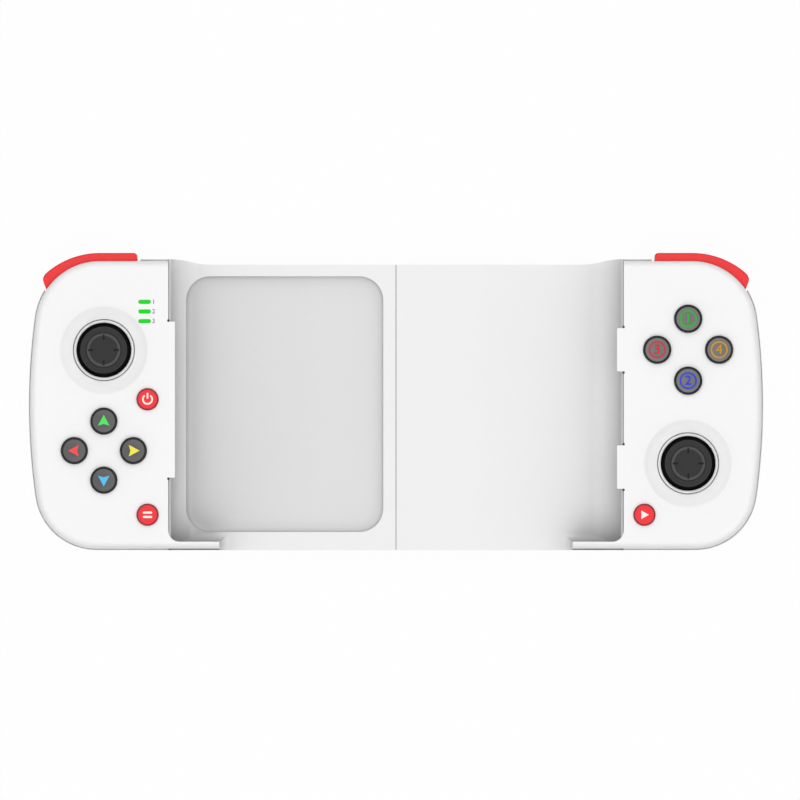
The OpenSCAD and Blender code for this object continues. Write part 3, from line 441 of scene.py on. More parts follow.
def combine(base: BMesh, tools: list[BMesh], way: Joining) -> BMesh:
    """Combines a solid with others and frees the inputs.

    Args:
        base: Solid to start from.
        tools: Solids to cut away, weld on or keep within.
        way: How they are combined.

    Returns:
        The new solid.
    """
    objects = []
    for bm in (base, *tools):
        mesh = bpy.data.meshes.new("blank")
        bm.to_mesh(mesh)
        bm.free()
        obj = bpy.data.objects.new("blank", mesh)
        bpy.context.scene.collection.objects.link(obj)
        objects.append(obj)
    for tool in objects[1:]:
        modifier = objects[0].modifiers.new("combine", "BOOLEAN")
        modifier.operation = way.value
        modifier.solver = "EXACT"
        modifier.object = tool
    result = bmesh.new()
    result.from_object(objects[0], bpy.context.evaluated_depsgraph_get())
    for obj in objects:
        mesh = obj.data
        bpy.data.objects.remove(obj)
        bpy.data.meshes.remove(mesh)
    bmesh.ops.remove_doubles(result, verts=result.verts[:], dist=MERGE_GAP)
    bmesh.ops.dissolve_degenerate(result, edges=result.edges[:], dist=MERGE_GAP)
    return result


def merge(solids: list[BMesh]) -> BMesh:
    """Puts separate solids into one mesh.

    Args:
        solids: Meshes to copy into one; they are freed.

    Returns:
        The mesh that holds them all.
    """
    whole = bmesh.new()
    for bm in solids:
        mesh = bpy.data.meshes.new("blank")
        bm.to_mesh(mesh)
        bm.free()
        whole.from_mesh(mesh)
        bpy.data.meshes.remove(mesh)
    return whole


def from_curve(curve: bpy.types.Curve) -> BMesh:
    """Turns a curve or a text into a mesh and removes it.

    Args:
        curve: Curve or text; it is removed.

    Returns:
        Its mesh.
    """
    obj = bpy.data.objects.new("blank", curve)
    bpy.context.scene.collection.objects.link(obj)
    graph = bpy.context.evaluated_depsgraph_get()
    mesh = bpy.data.meshes.new_from_object(obj.evaluated_get(graph), depsgraph=graph)
    bm = bmesh.new()
    bm.from_mesh(mesh)
    bpy.data.objects.remove(obj)
    bpy.data.curves.remove(curve)
    bpy.data.meshes.remove(mesh)
    bmesh.ops.remove_doubles(bm, verts=bm.verts[:], dist=MERGE_GAP)
    return bm


def wire(places: list[tuple[float, float, float]], radius: float) -> BMesh:
    """Makes a round wire along a path.

    Args:
        places: Points along the wire's middle.
        radius: Radius of the wire.

    Returns:
        The wire as a closed mesh.
    """
    curve = bpy.data.curves.new("wire", "CURVE")
    curve.dimensions = "3D"
    curve.bevel_depth = radius
    curve.bevel_resolution = 1
    curve.use_fill_caps = True
    spline = curve.splines.new("POLY")
    spline.points.add(len(places) - 1)
    for point, place in zip(spline.points, places):
        point.co = (*place, 1.0)
    return from_curve(curve)


def shade(level: float) -> float:
    """Turns a display level from 0 to 255 into a linear value by the sRGB curve."""
    share = level / 255.0
    return share / 12.92 if share <= 0.04045 else ((share + 0.055) / 1.055) ** 2.4


def paint(red: float, green: float, blue: float) -> Colour:
    """Turns a display colour into a linear one."""
    return (shade(red), shade(green), shade(blue))


class MouldGrain:
    """Shader group for the fine texture that a mould leaves in plastic."""

    NAME = "mould_grain"
    GRAINS = 2500.0
    PATCHES = 160.0
    DRIFTS = 28.0

    @classmethod
    def group(cls) -> bpy.types.NodeTree:
        """Builds the group once, with grain size, relief and slow drift.

        Returns:
            The node group.
        """
        if cls.NAME in bpy.data.node_groups:
            return bpy.data.node_groups[cls.NAME]
        tree = bpy.data.node_groups.new(cls.NAME, "ShaderNodeTree")
        face = tree.interface
        face.new_socket("Vector", in_out="INPUT", socket_type="NodeSocketVector")
        size = face.new_socket("Grains per metre", in_out="INPUT", socket_type="NodeSocketFloat")
        size.default_value = cls.GRAINS
        for name in ("Relief", "Polish", "Drift"):
            face.new_socket(name, in_out="OUTPUT", socket_type="NodeSocketFloat")
        entry = tree.nodes.new("NodeGroupInput")
        leave = tree.nodes.new("NodeGroupOutput")
        fine = cls._noise(tree, entry, None, detail=4.0)
        tree.links.new(entry.outputs["Grains per metre"], fine.inputs["Scale"])
        patch = cls._noise(tree, entry, cls.PATCHES, detail=3.0)
        slow = cls._noise(tree, entry, cls.DRIFTS, detail=2.0)
        tree.links.new(fine.outputs["Fac"], leave.inputs["Relief"])
        tree.links.new(patch.outputs["Fac"], leave.inputs["Polish"])
        tree.links.new(slow.outputs["Fac"], leave.inputs["Drift"])
        return tree

    @staticmethod
    def _noise(tree: bpy.types.NodeTree, entry: bpy.types.Node, scale: float | None,
               detail: float) -> bpy.types.Node:
        """Adds a noise texture that reads the group's vector.

        Args:
            tree: Node tree to add to.
            entry: The group's input node.
            scale: Scale of the noise, or None if a link sets it.
            detail: Detail of the noise.

        Returns:
            The noise node.
        """
        noise = tree.nodes.new("ShaderNodeTexNoise")
        noise.inputs["Detail"].default_value = detail
        if scale is not None:
            noise.inputs["Scale"].default_value = scale
        tree.links.new(entry.outputs["Vector"], noise.inputs["Vector"])
        return noise


class CornerShade:
    """Shader group that paints shade into a colour towards the corners of a hollow."""

    NAME = "corner_shade"
    REACH = 40 * MM
    FALL = 2.2
    SAMPLES = 16

    @classmethod
    def group(cls) -> bpy.types.NodeTree:
        """Builds the group once, with a colour and the depth of its shade.

        Returns:
            The node group.
        """
        if cls.NAME in bpy.data.node_groups:
            return bpy.data.node_groups[cls.NAME]
        tree = bpy.data.node_groups.new(cls.NAME, "ShaderNodeTree")
        face = tree.interface
        face.new_socket("Colour", in_out="INPUT", socket_type="NodeSocketColor")
        face.new_socket("Depth", in_out="INPUT", socket_type="NodeSocketFloat")
        face.new_socket("Colour", in_out="OUTPUT", socket_type="NodeSocketColor")
        entry = tree.nodes.new("NodeGroupInput")
        leave = tree.nodes.new("NodeGroupOutput")
        corner = tree.nodes.new("ShaderNodeAmbientOcclusion")
        corner.only_local = True
        corner.samples = cls.SAMPLES
        corner.inputs["Distance"].default_value = cls.REACH
        fall = cls._sum(tree, "POWER", corner.outputs["AO"], cls.FALL)
        hidden = cls._sum(tree, "SUBTRACT", 1.0, fall)
        dark = cls._sum(tree, "MULTIPLY", hidden, entry.outputs["Depth"])
        level = cls._sum(tree, "SUBTRACT", 1.0, dark)
        mixed = tree.nodes.new("ShaderNodeVectorMath")
        mixed.operation = "SCALE"
        tree.links.new(entry.outputs["Colour"], mixed.inputs[0])
        tree.links.new(level, mixed.inputs["Scale"])
        tree.links.new(mixed.outputs["Vector"], leave.inputs["Colour"])
        return tree

    @staticmethod
    def _sum(tree: bpy.types.NodeTree, kind: str, *terms: bpy.types.NodeSocket | float
             ) -> bpy.types.NodeSocket:
        """Adds one sum of two terms, each a socket or a number.

        Args:
            tree: Node tree to add to.
            kind: Operation of the node.
            terms: The two terms.

        Returns:
            The result's socket.
        """
        node = tree.nodes.new("ShaderNodeMath")
        node.operation = kind
        for socket, term in zip(node.inputs, terms):
            if isinstance(term, bpy.types.NodeSocket):
                tree.links.new(term, socket)
            else:
                socket.default_value = term
        return node.outputs[0]


@dataclass(frozen=True)
class Finish:
    """One finish: colour, gloss and the grain of its surface."""

    name: str
    colour: Colour
    rough: Point = (0.3, 0.4)
    drift: float = 0.03
    grain: float = 0.4
    relief: float = 0.01
    metal: float = 0.0
    coat: float = 0.0
    glow: float = 0.0
    shine: float = 0.5
    # Depth of the shade painted towards corners; 0 paints none.
    shade_in: float = 0.0
    coat_rough: float = 0.08
    tint_span: Point = (0.3, 0.7)

    def material(self) -> bpy.types.Material:
        """Builds the node material, or returns the one made before.

        Returns:
            The material.
        """
        if self.name in bpy.data.materials:
            return bpy.data.materials[self.name]
        made = bpy.data.materials.new(self.name)
        made.use_nodes = True
        tree = made.node_tree
        shader = tree.nodes["Principled BSDF"]
        place = tree.nodes.new("ShaderNodeTexCoord")
        grain = tree.nodes.new("ShaderNodeGroup")
        grain.node_tree = MouldGrain.group()
        grain.inputs["Grains per metre"].default_value = 1.0 / (self.grain * MM)
        tree.links.new(place.outputs["Object"], grain.inputs["Vector"])
        tree.links.new(self._gloss(tree, grain), shader.inputs["Roughness"])
        tint = self._tint(tree, grain)
        tree.links.new(self._shaded(tree, tint), shader.inputs["Base Color"])
        tree.links.new(self._bump(tree, grain), shader.inputs["Normal"])
        shader.inputs["Metallic"].default_value = self.metal
        shader.inputs["Coat Weight"].default_value = self.coat
        shader.inputs["Coat Roughness"].default_value = self.coat_rough
        shader.inputs["Specular IOR Level"].default_value = self.shine
        if self.glow:
            tree.links.new(tint, shader.inputs["Emission Color"])
            shader.inputs["Emission Strength"].default_value = self.glow
        return made

    def _gloss(self, tree: bpy.types.NodeTree, grain: bpy.types.Node) -> bpy.types.NodeSocket:
        """Adds the roughness, which varies in soft patches.

        Args:
            tree: Node tree to add to.
            grain: Node of the mould grain.

        Returns:
            The roughness's socket.
        """
        gloss = tree.nodes.new("ShaderNodeMapRange")
        gloss.inputs["To Min"].default_value = self.rough[0]
        gloss.inputs["To Max"].default_value = self.rough[1]
        tree.links.new(grain.outputs["Polish"], gloss.inputs["Value"])
        return gloss.outputs["Result"]

    def _tint(self, tree: bpy.types.NodeTree, grain: bpy.types.Node) -> bpy.types.NodeSocket:
        """Adds the colour with its slow drift.

        Args:
            tree: Node tree to add to.
            grain: Node of the mould grain.

        Returns:
            The colour's socket.
        """
        tint = tree.nodes.new("ShaderNodeValToRGB")
        darker = tuple(c * (1.0 - self.drift) for c in self.colour)
        ends = zip(tint.color_ramp.elements, self.tint_span, (darker, self.colour))
        for stop, position, colour in ends:
            stop.position = position
            stop.color = (*colour, 1.0)
        tree.links.new(grain.outputs["Drift"], tint.inputs["Fac"])
        return tint.outputs["Color"]

    def _shaded(self, tree: bpy.types.NodeTree, colour: bpy.types.NodeSocket
                ) -> bpy.types.NodeSocket:
        """Paints shade into a colour towards the corners, where the finish asks for it.

        Args:
            tree: Node tree to add to.
            colour: Socket of the plain colour.

        Returns:
            The socket of the colour to use.
        """
        if not self.shade_in:
            return colour
        corner = tree.nodes.new("ShaderNodeGroup")
        corner.node_tree = CornerShade.group()
        corner.inputs["Depth"].default_value = self.shade_in
        tree.links.new(colour, corner.inputs["Colour"])
        return corner.outputs["Colour"]

    def _bump(self, tree: bpy.types.NodeTree, grain: bpy.types.Node) -> bpy.types.NodeSocket:
        """Adds the relief of the grain.

        Args:
            tree: Node tree to add to.
            grain: Node of the mould grain.

        Returns:
            The normal's socket.
        """
        bump = tree.nodes.new("ShaderNodeBump")
        bump.inputs["Strength"].default_value = 1.0
        bump.inputs["Distance"].default_value = self.relief * MM
        tree.links.new(grain.outputs["Relief"], bump.inputs["Height"])
        return bump.outputs["Normal"]


def mark_finish(name: str, colour: Colour, shine: float = 0.5) -> Finish:
    """Makes the finish of a coloured print."""
    return Finish(name, colour, rough=(0.35, 0.45), drift=0.05, grain=0.2, relief=0.003,
                  shine=shine)


SHELL = Finish("shell_white", paint(250, 250, 250), (0.32, 0.4), 0.008, 0.35, 0.006, shine=0.4)
# Tray and recess floor paint shade towards their corners; the recess floor is also greyer.
TRAY = Finish("tray_white", paint(243, 243, 243), (0.42, 0.52), 0.01, 0.35, 0.012, shine=0.4,
              shade_in=0.7)
RECESS_FLOOR = Finish("recess_floor_grey", paint(228, 228, 228), (0.5, 0.6), 0.012, 0.3, 0.015, shine=0.35,
             shade_in=0.65)
TRIM = Finish("trim_white", paint(248, 248, 248), (0.22, 0.3), 0.01, 0.5, 0.004)
RED = Finish("shoulder_red", paint(242, 44, 48), (0.3, 0.4), 0.04, 0.4, 0.008, shine=0.3)
RED_CAP = Finish("red_cap", paint(246, 40, 50), (0.32, 0.42), 0.03, 0.4, 0.006, shine=0.3)
# Darker copy of the red, painted as the shade on the red buttons' rim.
RED_RIM_SHADE = Finish("red_rim_painted_shade", paint(150, 16, 24), (0.3, 0.4), 0.03, 0.4, 0.006, shine=0.3)
DARK_CAP = Finish("dark_cap", paint(74, 74, 74), (0.25, 0.34), 0.06, 0.3, 0.006, coat=0.2,
                  shine=0.35)
GREY_CAP = Finish("grey_cap", paint(104, 104, 103), (0.25, 0.34), 0.05, 0.3, 0.006, coat=0.2,
                  shine=0.35)
# Near black, painted as the shade on the rim of the dark and grey buttons.
KEY_RIM_SHADE = Finish("key_rim_painted_shade", paint(24, 23, 24), (0.3, 0.4), 0.08, 0.3, 0.006, shine=0.2)
RUBBER = Finish("stick_rubber", paint(52, 52, 53), (0.32, 0.44), 0.1, 0.25, 0.012)
# Black of the stick's dust dome; on the cap's groove the same black is painted shade.
DOME_AND_GROOVE_SHADE = Finish("stick_dome_and_groove_shade", paint(18, 18, 19), (0.3, 0.42), 0.1, 0.3, 0.008)
SLEEVE = Finish("sleeve_grey", paint(150, 151, 153), (0.3, 0.42), 0.05, 0.25, 0.01, metal=0.6)
STEEL = Finish("steel", paint(176, 177, 180), (0.22, 0.38), 0.05, 0.2, 0.004, metal=1.0)
BOARD = Finish("board_green", paint(30, 92, 58), (0.35, 0.5), 0.15, 0.6, 0.01)
SILICONE = Finish("silicone", paint(206, 206, 208), (0.5, 0.65), 0.04, 0.4, 0.01)
BLACK_PART = Finish("black_part", paint(40, 40, 42), (0.4, 0.55), 0.1, 0.35, 0.012)
GIMBAL = Finish("gimbal_plastic", paint(52, 52, 54), (0.35, 0.48), 0.08, 0.3, 0.008)
RIBBON = Finish("ribbon_film", paint(186, 126, 48), (0.25, 0.38), 0.1, 0.5, 0.005)
CELL = Finish("battery_wrap", paint(120, 126, 134), (0.3, 0.42), 0.06, 0.7, 0.01, metal=0.5)
LAMP = Finish("lamp_green", paint(2, 224, 22), (0.25, 0.35), 0.04, 0.5, 0.003, glow=0.08,
              shine=0.12)
INK = Finish("print_grey", paint(110, 110, 112), (0.45, 0.55), 0.05, 0.2, 0.003)
WHITE_INK = Finish("print_white", paint(250, 246, 240), (0.4, 0.5), 0.02, 0.2, 0.003)
GREEN_MARK = mark_finish("mark_green", paint(62, 226, 84))
BLUE_MARK = mark_finish("mark_sky", paint(72, 190, 240))
RED_MARK = mark_finish("mark_red", paint(240, 56, 60))
YELLOW_MARK = mark_finish("mark_yellow", paint(246, 232, 62))
FACE_GREEN = mark_finish("face_green", paint(14, 178, 30), shine=0.25)
FACE_RED = mark_finish("face_red", paint(206, 30, 46), shine=0.25)
FACE_AMBER = mark_finish("face_amber", paint(206, 148, 30), shine=0.25)
FACE_BLUE = mark_finish("face_blue", paint(30, 56, 214), shine=0.25)
SLOT_FINISH = {
    "shell": SHELL, "tray": TRAY, "trim": TRIM, "board": BOARD, "silicone": SILICONE,
    "black_plastic": BLACK_PART, "sleeve": SLEEVE, "lens": LAMP, "ribbon": RIBBON,
    "battery": CELL, "steel": STEEL, "red_key": RED, "dark_key": DARK_CAP,
    "grey_key": GREY_CAP, "stick_rubber": RUBBER, "gimbal": GIMBAL,
}


@dataclass
class Piece:
    """Where a finished mesh goes: its body and the CAD nodes that it stands for.

    A piece with stretch_x stays in the shared frame instead of riding its body.
    """

    name: str
    body: str
    slot: str
    finishes: list[Finish]
    replaces: tuple[str, ...] = ()
    side: Side = Side.RIGHT
    sharp: float = 38.0
    soften: float = 0.0
    stretch_x: Point | None = None

    def finish(self, bm: BMesh) -> bpy.types.Object:
        """Turns a drawn mesh into a piece of the object.

        Args:
            bm: Mesh in millimetres, drawn as the right-hand one; it is freed.

        Returns:
            The piece.
        """
        if self.side is Side.LEFT:
            bmesh.ops.scale(bm, vec=(-1, 1, 1), verts=bm.verts[:])
            bmesh.ops.reverse_faces(bm, faces=bm.faces[:])
        bmesh.ops.translate(bm, vec=(0, FRAME_DY, 0), verts=bm.verts[:])
        bmesh.ops.scale(bm, vec=(MM, MM, MM), verts=bm.verts[:])
        mesh = bpy.data.meshes.new(self.name)
        bm.to_mesh(mesh)
        bm.free()
        for finish in self.finishes:
            mesh.materials.append(finish.material())
        mesh.shade_smooth()
        mesh.set_sharp_from_angle(angle=math.radians(self.sharp))
        obj = bpy.data.objects.new(self.name, mesh)
        bpy.context.scene.collection.objects.link(obj)
        if self.soften:
            round_off = obj.modifiers.new("soften", "BEVEL")
            round_off.width = self.soften * MM
            round_off.segments = 2
            round_off.limit_method = "ANGLE"
            round_off.angle_limit = math.radians(self.sharp)
        weigh = obj.modifiers.new("weigh", "WEIGHTED_NORMAL")
        weigh.keep_sharp = True
        if self.stretch_x:
            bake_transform(obj)
        else:
            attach(obj, self.body)
        if self.replaces:
            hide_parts(*self.replaces)
        LOG.info("%s: %d faces on %s", self.name, len(mesh.polygons), self.body)
        return obj


def grip_outline(inset: float, bay_x: float) -> Pen:
    """Draws a grip's plan outline, moved inwards.

    Args:
        inset: Distance that the outline is moved inwards.
        bay_x: Place of the side towards the bay.

    Returns:
        The outline, ready to fill.
    """
    s = SIZES
    low, high = s.bow_angle(s.bottom_c), s.bow_angle(s.top_c)
    pen = Pen(bay_x, inset - s.half_h)
    pen.to(s.bottom_c[0], inset - s.half_h)
    pen.turn(s.bottom_c, 90 + low, 24)
    pen.turn(s.side_c, high - low, 28)
    pen.turn(s.top_c, 90 - high, 24)
    return pen.to(bay_x, s.half_h - inset)


def shoulder_end(deeper: float, gap: float, further: float) -> tuple[Vector, Vector]:
    """Finds the inner and outer point of a shoulder button's outer end.

    Args:
        deeper: Extra depth into the grip.
        gap: Extra length.
        further: Extra reach out of the grip.

    Returns:
        The inner and the outer point in plan.
    """
    s = SIZES
    outer_a, inner_a = (math.radians(a) for a in s.shoulder_ends)
    inner_r = s.top_r - s.shoulder_in
    low = Vector(s.top_c) + inner_r * Vector((math.cos(inner_a), math.sin(inner_a)))
    high = Vector(s.shoulder_c) + s.shoulder_r * Vector((math.cos(outer_a), math.sin(outer_a)))
    across = (high - low).normalized()
    ahead = Vector((across.y, -across.x)) * gap
    return low - deeper * across + ahead, high + further * across + ahead


def shoulder_window(deeper: float, gap: float = 0.65, further: float = 4.0) -> Pen:
    """Draws the plan of the window round a bumper or trigger.

    Args:
        deeper: Extra depth into the grip.
        gap: Extra length at both ends.
        further: Extra reach out of the grip.

    Returns:
        The outline, ready to fill.
    """
    s = SIZES
    low, high = shoulder_end(deeper, gap, further)
    inner_y = s.half_h - s.shoulder_in - deeper
    pen = Pen(s.shoulder_x - gap, inner_y).to(s.top_c[0], inner_y)
    pen.turn(s.top_c, s.shoulder_ends[1] - 90, 20).to(*low).to(*high)
    rise = high - Vector(s.shoulder_c)
    pen.turn(s.shoulder_c, 90 - math.degrees(math.atan2(rise.y, rise.x)), 20)
    return pen.to(s.shoulder_x - gap, pen.tip.co.y)


def stadium(centre: Point, length: float, width: float, grow: float = 0.0) -> Pen:
    """Draws a bar with round ends along X.

    Args:
        centre: Middle of the outline.
        length: Length from end to end.
        width: Width across.
        grow: Extra width all round.

    Returns:
        The outline.
    """
    r = width / 2 + grow
    reach = length / 2 + grow - r
    pen = Pen(centre[0] - reach, centre[1] - r)
    pen.to(centre[0] + reach, centre[1] - r)
    pen.turn((centre[0] + reach, centre[1]), 180, 10)
    pen.to(centre[0] - reach, centre[1] + r)
    return pen.turn((centre[0] - reach, centre[1]), SHORT_TURN, 10)


def flare_arcs(pen: Pen) -> Pen:
    """Draws the flare that leads from a grip's top edge down to the bay's top edge.

    Args:
        pen: Outline that has come up along the bay's wall.

    Returns:
        The pen, at the flare's far end.
    """
    s = SIZES
    drop = s.half_h - s.panel_y
    r = ((s.flare_len / 2) ** 2 + (drop / 2) ** 2) / drop
    a = math.degrees(math.asin(s.flare_len / 2 / r))
    pen.to(s.bay_x, s.half_h).turn((s.bay_x, s.half_h - r), a, 10)
    return pen.turn((s.bay_x - s.flare_len, s.panel_y + r), -a, 10)


def tab_notches(tabs: tuple[Point, ...]) -> BMesh:
    """Makes the relief notches at both roots of each holding tab.

    Args:
        tabs: Lower and upper end of each tab along Y.

    Returns:
        The notches as one mesh.
    """
    s = SIZES
    low_z = s.floor_z + s.fillet_r - s.notch_drop
    x0, x1 = s.bay_x + s.notch_x[0], s.bay_x + s.notch_x[1]
    return merge([slab((x0, y, low_z), (x1, y + s.notch_w, s.above_all))
                  for low, high in tabs for y in (low - s.notch_w, high)])


@dataclass
class Grip:
    """Front and back shell of one half, with the openings of its controls."""

    side: Side
    stick_y: float
    keys_y: float
    key_pitch: float
    key_r: float
    small_y: tuple[float, ...]
    tabs: tuple[Point, ...]
    lamps: tuple[Point, ...] = ()
    lamp_size: Point = (3.35, 1.0)
    key_gap: float = 0.05
    key_trim: float = 0.05
    small_r: float = 3.0
    hollow_r: float = 15.0
    hollow_depth: float = 0.8
    dip_r: float = 16.0
    dip_depth: float = 0.6
    draft: float = 0.2
    ledge_in: float = 9.0
    under_in: float = 20.0
    bay_low: float = 5.0
    hole_z: float = 15.0
    ring_fit: float = 0.12
    lamp_fit: float = 0.06
    window_in: float = 1.4
    window_top: float = 20.75
    dish_ease: float = 0.15
    dish_steps: int = 10
    dish_lip: Point = (0.35, 0.05)
    overshoot: float = 1.04
    bridge_r: float = 2.5
    bridge_in: float = 4.9
    bridge_end_r: float = 2.3
    bridge_rim: float = 0.1
    channel_in: float = 3.5
    channel_z: Point = (4.5, 4.25)
    channel_top: float = 12.0
    seat_top: float = 14.0
    back_window_in: float = 2.7
    back_window_z: float = 2.4
    gap_ends: Point = (9.0, 5.0)
    flare_foot: float = 4.0
    screw_r: float = 2.2
    screw_z: Point = (-1.0, 3.0)
    bridge_screw_z: Point = (1.0, 3.5)
    screws: tuple[Point, ...] = ((93.5, 0.0), (91.0, -27.0), (67.6, 34.0), (67.5, -21.0))
    bridge_screws: tuple[Point, ...] = ((6.0, 32.95), (6.0, -34.45))
    socket: bool = False
    socket_place: Point = (82.0, 7.8)
    socket_size: Point = (8.9, 3.2)
    socket_fit: float = 0.3
    socket_depth: float = 6.0

    @property
    def key_places(self) -> list[Point]:
        """Places of the four round buttons: top, bottom, left and right."""
        x, y, d = SIZES.column_x, self.keys_y, self.key_pitch
        return [(x, y + d), (x, y - d), (x - d, y), (x + d, y)]

    def build(self) -> None:
        """Builds both shells."""
        name = self.side.label
        Piece(f"{name}_front_cover", f"{name}_half", "shell", [SHELL], (f"{name}_front_shell",),
              self.side, soften=0.12).finish(self.front())
        Piece(f"{name}_back_cover", f"{name}_half", "shell", [SHELL], (f"{name}_back_shell",),
              self.side, soften=0.15).finish(self.back())

    def front(self) -> BMesh:
        """Makes the front shell with its rounded rim, dish, hollow and openings.

        Returns:
            The front shell.
        """
        s = SIZES
        body = block(grip_outline(s.lip[1], s.ledge_x - self.ledge_in), s.parting_z, s.front_z,
                     s.rim_round, 10, self.draft)
        cavity = block(grip_outline(s.wall, s.bay_x), s.parting_z - 1, s.plate_z,
                       s.front_round, 6)
        under = slab((s.ledge_x - self.under_in, -s.beyond, s.parting_z - 1),
                     (s.bay_x, s.beyond, s.ledge_z))
        body = combine(body, [cavity, under], Joining.CUT)
        window = block(shoulder_window(self.window_in), s.parting_z - 1, self.window_top)
        body = combine(body, [self.bay_cut(), window, tab_notches(self.tabs)], Joining.CUT)
        keys_hollow = self.hollow((s.column_x, self.keys_y), self.hollow_r, self.hollow_depth)
        stick_dip = self.hollow((s.column_x, self.stick_y), self.dip_r, self.dip_depth)
        body = combine(body, [keys_hollow, stick_dip, self.dish()], Joining.CUT)
        span = (self.hole_z, s.above_all)
        small_places = [(s.small_x, y) for y in self.small_y]
        holes = [rod((s.column_x, self.stick_y), s.ring_r + self.ring_fit, *span, 96)]
        holes += [rod(p, self.key_r + self.key_gap, *span) for p in self.key_places]
        holes += [rod(p, self.small_r + self.key_gap, *span) for p in small_places]
        holes += [block(stadium(p, *self.lamp_size, self.lamp_fit), *span) for p in self.lamps]
        return combine(body, [merge(holes)], Joining.CUT)

    def bay_cut(self) -> BMesh:
        """Makes the solid that opens the front shell to the bay, round ledge and tabs.

        Returns:
            The solid to cut away.
        """
        s = SIZES
        corner = (s.bay_x - s.ledge_corner_r, s.ledge_y + s.ledge_corner_r)
        tip = s.bay_x - s.tab_reach + s.tab_r
        pen = Pen(s.ledge_x - s.inward, -s.beyond).to(s.ledge_x, -s.beyond)
        pen.to(s.ledge_x, s.ledge_y)
        pen.to(corner[0], s.ledge_y).turn(corner, 90, 10)
        for low, high in self.tabs:
            pen.to(s.bay_x, low).to(tip, low).turn((tip, low + s.tab_r), -90, 4)
            pen.to(tip - s.tab_r, high - s.tab_r).turn((tip, high - s.tab_r), -90, 4)
            pen.to(s.bay_x, high)
        pen.to(s.bay_x, s.beyond).to(s.ledge_x - s.inward, s.beyond)
        return block(pen, self.bay_low, s.above_all)

    def dish(self) -> BMesh:
        """Makes the solid of the dish round the stick.

        Returns:
            The solid to cut away.
        """
        s = SIZES
        low = s.front_z - s.dish_depth
        pen = Pen(0, low).to(s.ring_r, low)
        for step in range(1, self.dish_steps + 1):
            share = step / self.dish_steps
            rise = s.dish_depth * share * (self.dish_ease + (1 - self.dish_ease) * share)
            pen.to(s.ring_r + (s.dish_r - s.ring_r) * share, low + rise)
        edge = s.dish_r + self.dish_lip[0]
        pen.to(edge, s.front_z + self.dish_lip[1]).to(edge, s.above_face).to(0, s.above_face)
        return lathe(pen, (s.column_x, self.stick_y), 120)

    def hollow(self, centre: Point, r: float, depth: float) -> BMesh:
        """Makes the solid of a shallow round hollow in the front plate.

        Args:
            centre: Middle of the hollow in plan.
            r: Radius at the plate's surface.
            depth: Depth in the middle.

        Returns:
            The closed solid.
        """
        low = SIZES.front_z - depth
        bow = (r * r + depth * depth) / (2 * depth)
        reach = math.degrees(math.asin(r / bow))
        pen = Pen(0, low).turn((0, low + bow), reach * self.overshoot, 14)
        pen.to(pen.tip.co.x, SIZES.above_face).to(0, SIZES.above_face)
        return lathe(pen, centre, 120)

    def back(self) -> BMesh:
        """Makes the back shell with half of the bridge.

        Returns:
            The back shell with its bridge.
        """
        s = SIZES
        round_w, round_h = s.back_round
        deep = s.parting_z
        flare = block(self.flare(), s.bridge_z + self.bridge_r, s.tray_z)
        body = combine(self.back_body(), [self.bridge(), flare], Joining.WELD)
        cavity = block(grip_outline(s.wall, s.bay_x + s.wall), 0, deep - 1,
                       (round_w, round_h - 0.5), 8)
        upside_down(cavity, deep + 1)
        inner_z = self.channel_z[0] if self.side is Side.LEFT else self.channel_z[1]
        inner_x = s.bay_x + self.channel_in
        channel = slab((-1, s.wall - s.half_h, inner_z),
                       (inner_x, s.panel_y - s.wall, self.channel_top))
        seat = slab((s.bay_x - 1, s.wall - s.half_h, s.tray_z),
                    (inner_x, s.half_h - s.wall, self.seat_top))
        body = combine(body, [cavity, channel, seat], Joining.CUT)
        return combine(body, [self.back_cuts(), self.shadow_gap()], Joining.CUT)

    def back_body(self) -> BMesh:
        """Makes the solid of the back shell, cut off at the bay.

        Returns:
            The solid.
        """
        s = SIZES
        body = block(grip_outline(0, s.bay_x - s.back_round[0]), 0, s.parting_z, s.back_round, 12)
        upside_down(body, s.parting_z)
        cut = bmesh.ops.bisect_plane(
            body, geom=body.verts[:] + body.edges[:] + body.faces[:], dist=MERGE_GAP,
            plane_co=(s.bay_x, 0, 0), plane_no=(1, 0, 0), clear_inner=True)["geom_cut"]
        bmesh.ops.holes_fill(body, edges=[g for g in cut if isinstance(g, BMEdge)], sides=0)
        bmesh.ops.recalc_face_normals(body, faces=body.faces[:])
        bevel(body, [e for e in level_edges(body, 0.0)
                     if all(v.co.x < s.bay_x + NEAR for v in e.verts)], s.bridge_z, 6)
        return body

    def bridge(self) -> BMesh:
        """Makes one half of the bridge behind the phone.

        Returns:
            The solid.
        """
        s = SIZES
        r = self.bridge_r
        end = s.bay_x + self.bridge_in
        pen = Pen(s.panel_y, s.tray_z).to(-s.half_h, s.tray_z).to(-s.half_h, s.bridge_z + r)
        pen.turn((r - s.half_h, s.bridge_z + r), 90, 8).to(s.panel_y - r, s.bridge_z)
        pen.turn((s.panel_y - r, s.bridge_z + r), 90, 8)
        bridge = block(pen, 0, end)
        bevel(bridge, [e for e in level_edges(bridge, end)
                       if any(v.co.y < s.tray_z - self.bridge_rim for v in e.verts)],
              self.bridge_end_r, 6, clamp=False)
        return along_x(bridge, s.seam)

    def back_cuts(self) -> BMesh:
        """Makes the solids of the back shell's window, screw holes and socket mouth.

        Returns:
            The solids to cut away, as one mesh.
        """
        s = SIZES
        cuts = [block(shoulder_window(self.back_window_in), self.back_window_z, s.parting_z + 1)]
        cuts += [rod(p, self.screw_r, *self.screw_z, 40) for p in self.screws]
        cuts += [rod(p, self.screw_r, *self.bridge_screw_z, 40) for p in self.bridge_screws]
        if self.socket:
            mouth = stadium(self.socket_place, *self.socket_size, self.socket_fit)
            cuts.append(along_y(block(mouth, 0, self.socket_depth), -s.half_h - 1))
        return merge(cuts)

